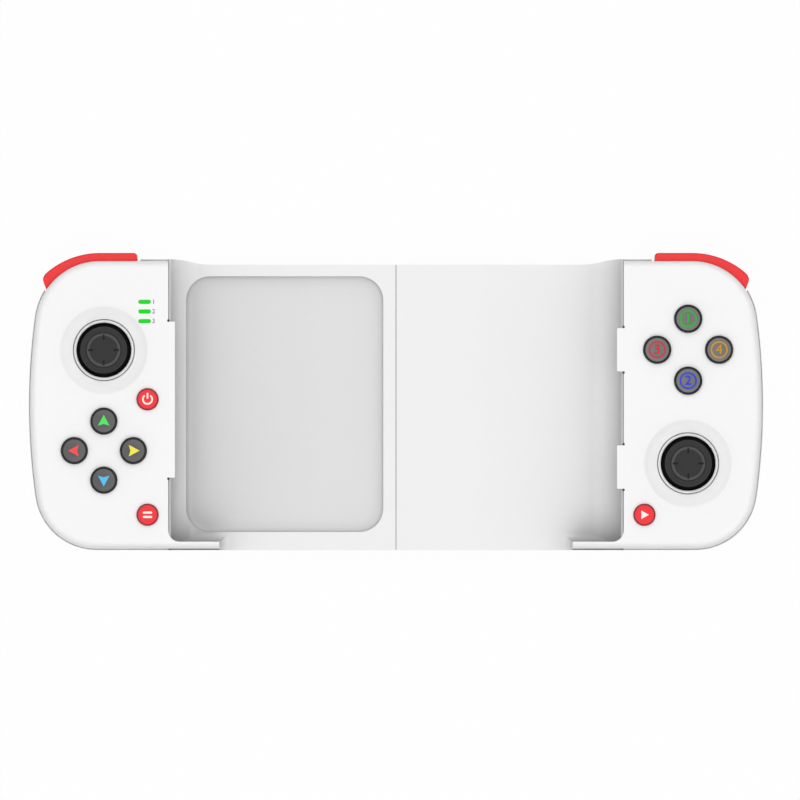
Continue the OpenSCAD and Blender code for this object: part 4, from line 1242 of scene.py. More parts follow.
    def shadow_gap(self) -> BMesh:
        """Makes the ring of the thin gap between the back shell's lip and the front shell.

        Returns:
            The ring to cut away.
        """
        s = SIZES
        low = s.parting_z - s.lip_depth
        core_x, ring_x = [s.bay_x - d for d in self.gap_ends]
        core = block(grip_outline(s.lip[1] + s.lip_over, core_x), low - 1, s.parting_z + 2)
        ring = block(grip_outline(s.lip[0], ring_x), low, s.parting_z + 1)
        return combine(ring, [core], Joining.CUT)

    def flare(self) -> Pen:
        """Draws the flare between the bay's top edge and the grip's top edge."""
        foot = SIZES.panel_y - self.flare_foot
        return flare_arcs(Pen(SIZES.bay_x, foot)).to(SIZES.bay_x - SIZES.flare_len, foot)


@dataclass
class BayTray:
    """White floor and wall of one half of the phone bay."""

    side: Side
    tabs: tuple[Point, ...]
    recess: bool = False
    recess_x: Point = (3.5, 57.7)
    recess_y: Point = (-35.0, 35.3)
    recess_r: float = 6.6
    recess_depth: float = 1.2
    foot_r: float = 2.5
    wall_in: float = 0.65
    wall_gap: Point = (0.16, 1.6)
    wall_top: float = 21.7
    wall_slope: float = 0.7
    wall_step: float = 0.1
    wall_fit: float = 0.05
    rim_r: float = 0.3
    ledge_root: float = 0.5
    recess_foot: Point = (2.2, 0.7)
    recess_rim: float = 0.35
    recess_last: float = 84.0
    recess_tool: float = 12.0
    pad_h: float = 0.6
    around: float = 0.01

    def build(self) -> None:
        """Builds the tray and, on the left, its recess."""
        name = self.side.label
        bm = self.tray()
        finishes = [TRAY]
        if self.recess:
            bm = combine(bm, [self.recess_cut()], Joining.CUT)
            self.round_recess(bm)
            finishes.append(RECESS_FLOOR)
        Piece(f"{name}_tray_cover", f"{name}_half", "tray", finishes, (f"{name}_bay_tray",),
              self.side, soften=0.12).finish(bm)

    def tray(self) -> BMesh:
        """Makes floor, hollow wall, flare and ledge as one solid.

        Returns:
            The tray before its recess is cut.
        """
        s = SIZES
        wall_x = s.bay_x - self.wall_in
        centre = (wall_x - s.fillet_r, s.floor_z + s.fillet_r)
        pen = Pen(s.seam, s.tray_z).to(s.bay_x + s.tray_wall, s.tray_z)
        gap_x = (s.bay_x + self.wall_step, s.bay_x - self.wall_gap[0])
        gap_z = self.wall_top - self.wall_gap[1]
        pen.to(s.bay_x + s.tray_wall, self.wall_top).to(gap_x[0], self.wall_top)
        pen.to(gap_x[0], gap_z).to(gap_x[1], gap_z).to(gap_x[1], self.wall_top)
        pen.to(wall_x, self.wall_top - self.wall_slope).to(wall_x, centre[1])
        side, bottom = s.seam + s.seam_groove[0], s.floor_z - s.seam_groove[1]
        pen.turn(centre, -90, 20).to(side, s.floor_z).to(side, bottom).to(s.seam, bottom)
        floor = along_y(block(pen, 0, 2 * s.half_h), -s.half_h)
        plan = block(self.plan(), s.tray_z - 1, s.front_z)
        body = combine(floor, [plan], Joining.KEEP)
        body = combine(body, self.ledge(), Joining.WELD)
        rim = [e for e in level_edges(body, s.floor_z) if self._is_rim(e)]
        bevel(body, rim, self.rim_r, 4)
        gap = slab((s.ledge_x - 1, s.lip[0] - s.half_h, s.ledge_z - s.lip_depth),
                   (s.bay_x, s.lip[1] + s.lip_over - s.half_h, s.ledge_z + 1))
        return combine(body, [tab_notches(self.tabs), gap], Joining.CUT)

    @staticmethod
    def _is_rim(edge: BMEdge) -> bool:
        """Tells whether an edge of the floor lies at its free sides."""
        s = SIZES
        return all(v.co.y > s.panel_y - NEAR or v.co.y < NEAR - s.half_h for v in edge.verts)

    def plan(self) -> Pen:
        """Draws the tray's plan with its flare and wall.

        Returns:
            The outline.
        """
        s = SIZES
        end = s.half_h - s.wall - self.wall_fit
        pen = Pen(s.seam, -s.half_h).to(s.bay_x, -s.half_h).to(s.bay_x, -end)
        pen.to(s.bay_x + s.tray_wall, -end).to(s.bay_x + s.tray_wall, end).to(s.bay_x, end)
        return flare_arcs(pen).to(s.seam, s.panel_y)

    def ledge(self) -> list[BMesh]:
        """Makes the ledge with its ramp, foot and hollow corner.

        Returns:
            The bar, the foot and the corner.
        """
        s = SIZES
        bar = along_y(block(self.ramp(), 0, s.ledge_w), -s.half_h)
        foot_c = (s.ledge_y + self.foot_r, s.floor_z + self.foot_r)
        root_y, root_z = s.ledge_y - self.ledge_root, s.floor_z - self.ledge_root
        pen = Pen(root_y, root_z).to(foot_c[0], root_z)
        pen.to(foot_c[0], s.floor_z).turn(foot_c, -90, 8).to(root_y, foot_c[1])
        start = s.ledge_x - s.ramp_r
        foot = along_x(block(pen, 0, s.bay_x - start), start)
        mitre = along_y(block(self.ramp(), 0, s.ledge_w + self.foot_r), -s.half_h)
        foot = combine(foot, [mitre], Joining.KEEP)
        c = (s.bay_x - s.ledge_corner_r, s.ledge_y + s.ledge_corner_r)
        pen = Pen(s.bay_x, root_y).to(s.bay_x, c[1]).turn(c, -90, 10)
        corner = block(pen.to(c[0], root_y), root_z, s.ledge_z)
        return [bar, foot, corner]

    @staticmethod
    def ramp() -> Pen:
        """Draws the ledge's side view with the ramp at its end.

        Returns:
            The outline in side view.
        """
        s = SIZES
        centre = (s.ledge_x - s.ramp_r, s.floor_z + s.ramp_r)
        pen = Pen(centre[0], s.tray_z).to(centre[0], s.floor_z).turn(centre, 90, 10)
        return pen.to(s.ledge_x, s.ledge_z).to(s.bay_x, s.ledge_z).to(s.bay_x, s.tray_z)

    def recess_cut(self) -> BMesh:
        """Makes the solid of the recess with round corners.

        Returns:
            The solid to cut away.
        """
        (x0, x1), (y0, y1), r = self.recess_x, self.recess_y, self.recess_r
        pen = Pen(x0 + r, y0).to(x1 - r, y0).turn((x1 - r, y0 + r), 90, 14)
        pen.to(x1, y1 - r).turn((x1 - r, y1 - r), 90, 14)
        pen.to(x0 + r, y1).turn((x0 + r, y1 - r), 90, 14)
        pen.to(x0, y0 + r).turn((x0 + r, y0 + r), self.recess_last, 13)
        low, high = SIZES.floor_z - self.recess_depth, SIZES.floor_z + self.recess_tool
        return upside_down(block(pen, 0, high - low, self.recess_foot, 6), high)

    def round_recess(self, bm: BMesh) -> None:
        """Rounds the recess's rim and gives its floor the greyer finish, which also paints shade
        towards its corners.

        Args:
            bm: Tray with its recess cut.
        """
        deep = SIZES.floor_z - self.recess_depth
        x0, y0 = self.recess_x[0] - self.around, self.recess_y[0] - self.around
        x1, y1 = self.recess_x[1] + self.around, self.recess_y[1] + self.around
        rim = [e for e in level_edges(bm, SIZES.floor_z, x0)
               if all(y0 < v.co.y < y1 and v.co.x < x1 for v in e.verts)]
        bevel(bm, rim, self.recess_rim, 4)
        # The recess floor gets the greyer finish with painted corner shade.
        for face in bm.faces:
            high = face.calc_center_median().z
            if deep - NEAR < high < deep + self.pad_h and face.normal.z > 0.1:
                face.material_index = 1


@dataclass
class Keys:
    """Round buttons of one half with their printed marks."""

    side: Side
    grip: Grip
    names: tuple[str, str, str, str]
    cap: Finish
    slot: str
    marks: tuple[Finish, ...]
    top_z: float = 25.2
    bevel_w: float = 0.5
    ink: float = 0.04
    dent: float = 0.16
    ring_r: float = 2.35
    ring_w: float = 0.42
    digit: float = 3.6
    foot: Point = (1.9, 14.1)
    flange_w: float = 0.9
    flange_z: Point = (20.9, 21.9)
    rim_w: float = 0.1
    top_band: float = 0.2
    face_in: float = 0.05
    print_in: float = 0.2
    digit_in: float = 0.15
    arrow_tip: float = 1.75
    arrow_wing: Point = (1.6, -1.25)
    arrow_notch: float = -0.8

    def build(self) -> None:
        """Builds four buttons and their marks."""
        for place, name, ink, turn in zip(self.grip.key_places, self.names, self.marks,
                                          (0, 180, 90, -90)):
            body = self.key(place, self.grip.key_r - self.grip.key_trim)
            Piece(f"{name}_cap", name, self.slot, [KEY_RIM_SHADE, self.cap], (name,), self.side,
                  sharp=60).finish(body)
            if self.side is Side.LEFT:
                mark = self.arrow(place, turn)
            else:
                mark = self.ringed(str(self.names.index(name) + 1), place)
            Piece(f"{name}_mark", name, self.slot, [ink], side=self.side).finish(mark)

    def key(self, place: Point, r: float) -> BMesh:
        """Turns one button with a bevelled edge, a flange and a plunger.

        Args:
            place: Centre of the button in plan.
            r: Radius of its cap.

        Returns:
            The solid; its flat top has the second material, and its rim the first, which paints
            the rim's shade.
        """
        z, b = self.top_z, self.bevel_w
        face_r = r - b - self.rim_w
        bow = face_r ** 2 / (2 * self.dent)
        (foot_r, foot_z), (low, high) = self.foot, self.flange_z
        pen = Pen(0, foot_z).to(foot_r, foot_z).to(foot_r, low).to(r + self.flange_w, low)
        pen.to(r + self.flange_w, high).to(r, high).to(r, z - b)
        pen.turn((r - b, z - b), 90, 6).to(face_r, z)
        pen.turn((0, z - self.dent + bow), -math.degrees(math.asin(face_r / bow)), 8)
        bm = lathe(pen, place, 72)
        # Faces outside the flat top keep the first finish, the rim's painted shade.
        for face in bm.faces:
            middle = face.calc_center_median()
            away = math.hypot(middle.x - place[0], middle.y - place[1])
            if middle.z > z - self.top_band and away < face_r - self.face_in:
                face.material_index = 1
        return bm

    def ringed(self, number: str, place: Point) -> BMesh:
        """Makes a number in a thin ring.

        Args:
            number: The number.
            place: Centre of the button in plan.

        Returns:
            Ring and number as one mesh.
        """
        low, high, r = self.top_z - self.print_in, self.top_z + self.ink, self.ring_r
        pen = Pen(r, low).to(r, high).to(r - self.ring_w, high).to(r - self.ring_w, low).to(r, low)
        digit = Numeral.solid(number, place, self.digit, self.top_z - self.digit_in,
                              self.digit_in + self.ink)
        return merge([lathe(pen, place, 48), digit])

    def arrow(self, place: Point, turn: float) -> BMesh:
        """Makes an arrowhead with a notched base that points away from the pad's middle.

        Args:
            place: Centre of the button in plan.
            turn: Turn of the arrow in degrees.

        Returns:
            The arrowhead.
        """
        x, y = self.arrow_wing
        pen = Pen(0, self.arrow_tip).to(-x, y).to(0, self.arrow_notch).to(x, y)
        return placed(block(pen, self.top_z - self.print_in, self.top_z + self.ink), turn, place)


@dataclass
class KeyDomes:
    """Silicone sheet and domes under the buttons of one half."""

    side: Side
    grip: Grip
    keys: tuple[str, ...]
    small: tuple[str, ...]
    base_z: float = 11.0
    height: float = 3.0
    sheet_t: float = 0.8
    web_w: float = 2.4
    web_in: float = 3.5
    vent_r: float = 0.6
    hollow: Point = (1.2, 1.4)
    mouth_r: float = 1.6
    foot: Point = (3.7, 0.6)
    foot_edge: float = 0.2
    skirt: Point = (3.0, 0.8)
    neck: Point = (2.2, 2.4)
    top_edge: float = 0.3
    key_keep: float = 0.69
    small_keep: float = 0.82

    def build(self) -> None:
        """Builds the sheet, and a dome for each button."""
        label = self.side.label
        Piece(f"{label}_key_sheet", f"{label}_half", "silicone", [SILICONE], (f"{label}_keypad",),
              self.side, soften=0.1).finish(self.web())
        small_places = [(SIZES.small_x, y) for y in self.grip.small_y]
        for place, name in zip(self.grip.key_places, self.keys):
            self.dome(place, name)
        for place, name in zip(small_places, self.small):
            self.dome(place, name)

    def web(self) -> BMesh:
        """Makes the cross-shaped sheet between the domes.

        Returns:
            The sheet.
        """
        x, y = SIZES.column_x, self.grip.keys_y
        reach = self.grip.key_pitch - self.web_in
        half = self.web_w / 2
        z0, z1 = self.base_z, self.base_z + self.sheet_t
        flat = slab((x - reach, y - half, z0), (x + reach, y + half, z1))
        upright = slab((x - half, y - reach, z0), (x + half, y + reach, z1))
        cross = combine(flat, [upright], Joining.WELD)
        return combine(cross, [rod((x, y), self.vent_r, z0 - 1, z1 + 1, 32)], Joining.CUT)

    def dome(self, place: Point, name: str) -> None:
        """Builds one dome, with a mesh of its own.

        Args:
            place: Centre of the button in plan.
            name: Name of the button.
        """
        z, top, edge = self.base_z, self.base_z + self.height, self.top_edge
        (foot_r, foot_h), (neck_r, neck_h) = self.foot, self.neck
        pen = Pen(0, z + self.hollow[1]).to(self.hollow[0], z + self.hollow[1])
        pen.to(self.mouth_r, z).to(foot_r, z).to(foot_r, z + foot_h)
        pen.turn((foot_r - self.foot_edge, z + foot_h), 90, 4)
        pen.to(self.skirt[0], z + self.skirt[1]).to(neck_r, z + neck_h)
        pen.to(neck_r, top - edge).turn((neck_r - edge, top - edge), 90, 4)
        bm = lathe(pen.to(0, top), place, 48)
        label = self.side.label
        obj = Piece(f"{name}_dome", f"{label}_half", "silicone", [SILICONE],
                    side=self.side).finish(bm)
        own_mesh(obj)


class Numeral:
    """Plain numbers printed on the part."""

    SINK = 0.05
    WEIGHT = 0.012

    @classmethod
    def solid(cls, text: str, place: Point, size: float, z: float, height: float) -> BMesh:
        """Makes a thin solid number.

        Args:
            text: The number.
            place: Its middle in plan, drawn for the right-hand half.
            size: Letter size.
            z: Height of the surface that carries it.
            height: How far it stands proud.

        Returns:
            The number as a mesh.
        """
        curve = bpy.data.curves.new("number", "FONT")
        curve.body = text
        curve.size = size
        curve.align_x = "CENTER"
        curve.align_y = "CENTER"
        curve.extrude = (height + cls.SINK) / 2
        curve.offset = size * cls.WEIGHT
        bm = from_curve(curve)
        bmesh.ops.translate(bm, verts=bm.verts[:], vec=(*place, z + (height - cls.SINK) / 2))
        return bm


@dataclass
class SmallKeys:
    """Red power, select and start buttons with plain white signs."""

    side: Side
    grip: Grip
    names: tuple[str, ...]
    top_z: float = 25.2
    ink: float = 0.04
    bevel_w: float = 0.25
    dent: float = 0.02
    print_in: float = 0.1
    power_r: Point = (1.05, 1.5)
    power_gap: float = 36.0
    power_bar: tuple[float, float, float] = (0.22, 0.2, 1.75)
    bar_size: Point = (2.6, 0.6)
    bar_y: float = 0.6
    arrow_x: Point = (-0.85, 1.2)
    arrow_y: float = 1.15

    def build(self) -> None:
        """Builds each button and its sign."""
        turner = Keys(self.side, self.grip, ("", "", "", ""), RED_CAP, "red_key", (),
                      bevel_w=self.bevel_w, dent=self.dent)
        signs = {"power_button": self.power, "select_button": self.bars,
                 "start_button": self.arrow}
        for y, name in zip(self.grip.small_y, self.names):
            place = (SIZES.small_x, y)
            body = turner.key(place, self.grip.small_r - self.grip.key_trim)
            Piece(f"{name}_cap", name, "red_key", [RED_RIM_SHADE, RED_CAP], (name,), self.side,
                  sharp=60).finish(body)
            sign = placed(signs[name](), 0, place)
            Piece(f"{name}_sign", name, "red_key", [WHITE_INK], side=self.side).finish(sign)

    def _thin(self, pen: Pen) -> BMesh:
        """Pulls a drawn sign into a thin print on the button."""
        return block(pen, self.top_z - self.print_in, self.top_z + self.ink)

    def power(self) -> BMesh:
        """Makes the power sign: an open ring and a bar.

        Returns:
            Ring and bar as one mesh.
        """
        (r0, r1), gap = self.power_r, self.power_gap
        start = math.radians(90 + gap)
        pen = Pen(r1 * math.cos(start), r1 * math.sin(start)).turn((0, 0), 360 - 2 * gap, 40)
        end = math.radians(90 - gap)
        pen.to(r0 * math.cos(end), r0 * math.sin(end)).turn((0, 0), 2 * gap - 360, 40)
        x, y0, y1 = self.power_bar
        bar = self._thin(Pen(-x, y0).to(x, y0).to(x, y1).to(-x, y1))
        return merge([self._thin(pen), bar])

    def bars(self) -> BMesh:
        """Makes two short bars."""
        ys = (-self.bar_y, self.bar_y)
        return merge([self._thin(stadium((0, y), *self.bar_size)) for y in ys])

    def arrow(self) -> BMesh:
        """Makes a plain triangle."""
        (x0, x1), y = self.arrow_x, self.arrow_y
        return self._thin(Pen(x0, -y).to(x1, 0).to(x0, y))


@dataclass
class Stick:
    """Thumb stick of one half: cap, dust dome and trim ring."""

    side: Side
    y: float
    cap_r: float = 6.4
    cap_z: float = 29.2
    dome_r: float = 10.0
    groove: Point = (3.85, 4.6)
    groove_depth: Point = (0.8, 0.75)
    crown: tuple[Point, ...] = ((3.75, 0.55), (3.55, 0.5), (3.3, 0.6), (2.0, 0.92), (1.0, 1.04),
                                (0.0, 1.08))
    ring_gap: float = 0.14
    ring_proud: float = 0.1
    ring_edge: float = 0.3
    ring_low: float = 21.4
    flange_w: Point = (1.1, 1.2)
    flange_z: Point = (19.8, 20.6)
    dome_t: float = 0.6
    dome_low: float = 30.0
    stem_r: float = 2.3
    stem_z: float = 5.6
    under: Point = (3.0, 2.5)
    edge_r: float = 1.1
    brow_r: float = 1.4
    brow_turn: float = 72.0
    lip_in: float = 1.2
    lip_r: float = 0.35
    lip_turn: float = 75.0
    around: float = 0.02
    rubber_h: float = 2.4
    notch_size: Point = (1.5, 0.5)
    notch_in: float = 0.3
    notch_z: Point = (-1.3, 1.0)

    def build(self) -> None:
        """Builds ring and cap."""
        name = self.side.label
        Piece(f"{name}_stick_trim", f"{name}_half", "trim", [TRIM], (f"{name}_stick_ring",),
              self.side, sharp=50).finish(self.ring())
        Piece(f"{name}_stick_top", f"{name}_stick_cap", "stick_rubber", [RUBBER, DOME_AND_GROOVE_SHADE],
              (f"{name}_stick_cap",), self.side, sharp=40).finish(self.cap())

    def ring(self) -> BMesh:
        """Turns the trim ring with soft edges.

        Returns:
            The ring.
        """
        s = SIZES
        edge, top = self.ring_edge, s.front_z - s.dish_depth + self.ring_proud
        r0, r1 = s.ring_hole_r, s.ring_r - self.ring_gap
        inner, outer = r0 + self.flange_w[0], r1 + self.flange_w[1]
        low, high = self.flange_z
        pen = Pen(r0, self.ring_low).to(r0, top - edge).turn((r0 + edge, top - edge), -90, 6)
        pen.to(r1 - edge, top).turn((r1 - edge, top - edge), -90, 6)
        pen.to(r1, high).to(outer, high).to(outer, low).to(inner, low).to(r0, self.ring_low)
        return lathe(pen, (s.column_x, self.y), 96)

    def cap(self) -> BMesh:
        """Turns the cap with its grip ring, groove and hollow, over the dust dome.

        Returns:
            The cap; its dome has the second material, and so has its groove, where the black is
            painted shade.
        """
        s = SIZES
        r, z, d, stem = self.cap_r, self.cap_z, self.dome_r, self.stem_r
        inner, lift, brow = d - self.dome_t, s.pivot_z, z - self.brow_r
        low = math.radians(self.dome_low)
        pen = Pen(0, lift + self.stem_z).to(stem, lift + self.stem_z)
        pen.to(stem, lift + math.sqrt(inner ** 2 - stem ** 2))
        pen.turn((0, lift), self.dome_low - math.degrees(math.acos(stem / inner)), 12)
        pen.to(d * math.cos(low), lift + d * math.sin(low))
        pen.turn((0, lift), math.degrees(math.acos(stem / d)) - self.dome_low, 16)
        pen.to(stem, z - self.under[0]).to(r - self.edge_r, z - self.under[1])
        pen.turn((r - self.edge_r, brow), 90, 8).turn((r - self.brow_r, brow), self.brow_turn, 8)
        pen.to(r - self.lip_in, z).turn((r - self.lip_in, z - self.lip_r), self.lip_turn, 5)
        pen.to(self.groove[1], z - self.groove_depth[1])
        pen.to(self.groove[0], z - self.groove_depth[0])
        for radius, depth in self.crown:
            pen.to(radius, z - depth)
        bm = lathe(pen, (s.column_x, self.y), 96)
        # The groove takes the dome's black as painted shade.
        groove = (self.groove[0] - self.around, self.groove[1] + self.around)
        for face in bm.faces:
            middle = face.calc_center_median()
            away = math.hypot(middle.x - s.column_x, middle.y - self.y)
            groove_painted_shade = groove[0] < away < groove[1] and middle.z > z - 1
            if middle.z < z - self.rubber_h or groove_painted_shade:
                face.material_index = 1
        notches = [self.notch(a) for a in (0, 90, 180, 270)]
        return combine(bm, [merge(notches)], Joining.CUT)

    def notch(self, degrees: float) -> BMesh:
        """Makes one of the four small notches round the hollow.

        Args:
            degrees: Place of the notch round the stick.

        Returns:
            The solid to cut away.
        """
        low, high = [self.cap_z + z for z in self.notch_z]
        outline = stadium((self.groove[0] - self.notch_in, 0), *self.notch_size)
        return placed(block(outline, low, high), degrees, (SIZES.column_x, self.y))


@dataclass
class Shoulder:
    """Red bumper and trigger of one half."""

    side: Side
    bumper_z: Point = (12.8, 20.4)
    trigger_z: Point = (3.6, 12.0)
    rounding: float = 0.55
    corner_r: float = 0.9
    slant: float = 0.15
    end_pull: float = 1.6
    end_steps: int = 6
    tip_turn: float = 75.0
    outer_band: float = 0.35

    def build(self) -> None:
        """Builds both buttons."""
        name = self.side.label
        for kind, span in (("bumper", self.bumper_z), ("trigger", self.trigger_z)):
            Piece(f"{name}_{kind}_bar", f"{name}_{kind}", "red_key", [RED], (f"{name}_{kind}",),
                  self.side, sharp=50).finish(self.bar(span))

    def bar(self, span: Point) -> BMesh:
        """Makes a curved bar with rounded outer edges and ends.

        Args:
            span: Lower and upper height.

        Returns:
            The solid.
        """
        bm = block(self.outline(), *span)
        outer = [e for e in bm.edges
                 if all(self._is_outer(v) for v in e.verts) and e.verts[0].co.z == e.verts[1].co.z]
        bevel(bm, outer, self.rounding, 6, clamp=False)
        return bm

    def outline(self) -> Pen:
        """Draws the bar's plan: its end at the bay slants and its outer end is round.

        Returns:
            The outline.
        """
        s = SIZES
        low, high = shoulder_end(0.0, 0.0, 0.0)
        inner_y = s.half_h - s.shoulder_in
        pen = Pen(s.shoulder_x, inner_y).to(s.top_c[0], inner_y)
        pen.turn(s.top_c, s.shoulder_ends[1] - 90, 24)
        r = self.corner_r
        across = (high - low).normalized()
        rise = math.radians(s.shoulder_ends[0]) + 2 * r / s.shoulder_r
        start = high - across * r * self.end_pull
        end = Vector(s.shoulder_c) + s.shoulder_r * Vector((math.cos(rise), math.sin(rise)))
        pen.to(*start)
        for step in range(1, self.end_steps + 1):
            share = step / self.end_steps
            pen.to(*(start * (1 - share) ** 2 + high * 2 * share * (1 - share) + end * share ** 2))
        pen.turn(s.shoulder_c, 90 - math.degrees(rise), 24)
        top = s.half_h + s.shoulder_out
        tip = (s.shoulder_x + self.slant + r, top - r)
        return pen.to(tip[0], top).turn(tip, self.tip_turn, 6)

    def _is_outer(self, vert: BMVert) -> bool:
        """Tells whether a corner lies on the bar's outer curve.

        Args:
            vert: Corner of the bar.

        Returns:
            True on the outer curve.
        """
        s = SIZES
        if vert.co.x <= s.top_c[0]:
            return vert.co.y > s.half_h
        away = math.hypot(vert.co.x - s.shoulder_c[0], vert.co.y - s.shoulder_c[1])
        return away > s.shoulder_r - self.outer_band


@dataclass
class Indicators:
    """Three green indicator windows with their numbers."""

    middle: Point = (69.0, 25.6)
    pitch: float = 2.65
    size: Point = (3.35, 1.0)
    low_z: float = 19.5
    proud: float = 0.05
    edge_r: float = 0.12
    number_in: float = 2.45
    number_size: float = 1.7
    number_h: float = 0.02

    @property
    def places(self) -> tuple[Point, ...]:
        """Gives the middles of the windows from the lowest up."""
        x, y = self.middle
        return tuple((x, y + step * self.pitch) for step in (-1, 0, 1))

    def build(self) -> None:
        """Builds the windows and the printed numbers."""
        top = SIZES.front_z + self.proud
        bars = []
        for place in self.places:
            bar = block(stadium(place, *self.size), self.low_z, top)
            bevel(bar, level_edges(bar, top), self.edge_r, 3)
            bars.append(bar)
        Piece("indicator_windows", "left_half", "lens", [LAMP], ("indicator_lenses",),
              Side.LEFT).finish(merge(bars))
        numbers = []
        for count, (x, y) in enumerate(reversed(self.places), 1):
            number_x = x - self.number_in
            number = Numeral.solid(str(count), (number_x, y), self.number_size, SIZES.front_z,
                                   self.number_h)
            bmesh.ops.scale(number, vec=(-1, 1, 1), verts=number.verts[:],
                            space=Matrix.Translation((-number_x, 0, 0)))
            bmesh.ops.reverse_faces(number, faces=number.faces[:])
            numbers.append(number)
        Piece("indicator_numbers", "left_half", "black_plastic", [INK],
              side=Side.LEFT).finish(merge(numbers))


@dataclass
class BridgeLinks:
    """Springs and ribbon cable in the sleeve."""

    spring_ys: Point = (-16.75, 15.25)
    anchors: Point = (-52.0, 61.0)
    hook: float = 6.0
    eye_r: float = 1.6
    eye_turn: int = 330
    eye_step: int = 15
    coil_r: float = 1.2
    wire_r: float = 0.3
    pitch: float = 1.5
    turn_steps: int = 14
    mid_z: float = 7.175
    ribbon_w: float = 10.0
    ribbon_t: float = 0.2
    fold_x: Point = (14.0, 44.0)
    fold_r: float = 0.6
    ramp_x: Point = (-57.0, 59.0)
    board_z: float = 9.3
    board_ends: Point = (2.0, 9.0)

    def build(self) -> None:
        """Builds the two springs and the ribbon."""
        coils = (self.anchors[0] + self.hook, self.anchors[1] - self.hook)
        pair = merge([self.spring(y, coils) for y in self.spring_ys])
        Piece("bridge_springs", "left_half", "steel", [STEEL], ("tension_springs",),
              stretch_x=coils).finish(pair)
        Piece("bridge_ribbon", "left_half", "ribbon", [RIBBON], ("ribbon_cable",),
              stretch_x=self.ramp_x).finish(self.ribbon())

    def spring(self, y: float, coils: Point) -> BMesh:
        """Winds a spring with an eye round each anchor.

        Args:
            y: Place of the spring's axis.
            coils: Where the coils start and end along X.

        Returns:
            The spring's wire.
        """
        loop = [math.radians(a) for a in range(-self.eye_turn, 1, self.eye_step)]
        bends = [(self.eye_r * math.cos(a), self.eye_r * math.sin(a)) for a in loop]
        left = [(self.anchors[0] + u, y + v, self.mid_z) for u, v in bends]
        right = [(self.anchors[1] - u, y + v, self.mid_z) for u, v in reversed(bends)]
        steps = round((coils[1] - coils[0]) / self.pitch) * self.turn_steps
        turns = []
        for step in range(steps + 1):
            angle = math.tau * step / self.turn_steps
            r = self.coil_r * min(1.0, 2 * min(step, steps - step) / self.turn_steps)
            x = coils[0] + (coils[1] - coils[0]) * step / steps
            turns.append((x, y + r * math.cos(angle), self.mid_z + r * math.sin(angle)))
        return wire(left + turns + right, self.wire_r)

    def ribbon(self) -> BMesh:
        """Folds the ribbon twice in the sleeve and leads its ends to the boards.

        Returns:
            The ribbon.
        """
        r, z = self.fold_r, self.board_z
        low, high = self.mid_z - 2 * r, self.mid_z + 2 * r
        near, far = [SIZES.bay_x + d for d in self.board_ends]
        pen = Pen(-far, z).to(-near, z).to(self.ramp_x[0], low).to(self.fold_x[1], low)
        pen.turn((self.fold_x[1], low + r), 180, 8).to(self.fold_x[0], self.mid_z)
        pen.turn((self.fold_x[0], high - r), -180, 8).to(self.ramp_x[1], high)
        bm = pen.to(near, z).to(far, z).bm
        made = bmesh.ops.extrude_edge_only(bm, edges=bm.edges[:])["geom"]
        bmesh.ops.translate(bm, vec=(0, 0, self.ribbon_w),
                            verts=[g for g in made if isinstance(g, BMVert)])
        bmesh.ops.recalc_face_normals(bm, faces=bm.faces[:])
        bmesh.ops.solidify(bm, geom=bm.faces[:], thickness=self.ribbon_t)
        return along_y(bm, -self.ribbon_w / 2)


class InnerParts:
    """CAD nodes that stay, with finishes of their own."""

    @staticmethod
    def dress() -> None:
        """Gives every CAD node the finish of its material slot."""
        slots = {e["node"]: e["material_slot"] for e in frame["record"]["subparts"]}
        for name, obj in frame["nodes"].items():
            finish = SLOT_FINISH[slots[name]]
            if not obj.material_slots:
                obj.data.materials.append(finish.material())
            for slot in obj.material_slots:
                slot.material = finish.material()


@dataclass(frozen=True)
class Softbox:
    """Soft square lamp that looks at the object.

    Its level is the share of the plain light level that it gives on a level surface.
    """

    name: str
    place: tuple[float, float, float]
    size: float
    level: float

    def hang(self) -> None:
        """Hangs the lamp in the scene."""
        lamp = bpy.data.lights.new(self.name, "AREA")
        lamp.shape = "SQUARE"
        lamp.size = self.size
        away = Vector(self.place).length
        lamp.energy = self.level * math.pi ** 2 * away ** 3 / self.place[2]
        obj = bpy.data.objects.new(self.name, lamp)
        obj.location = self.place
        obj.rotation_euler = (-Vector(self.place)).to_track_quat("-Z", "Y").to_euler()
        bpy.context.scene.collection.objects.link(obj)


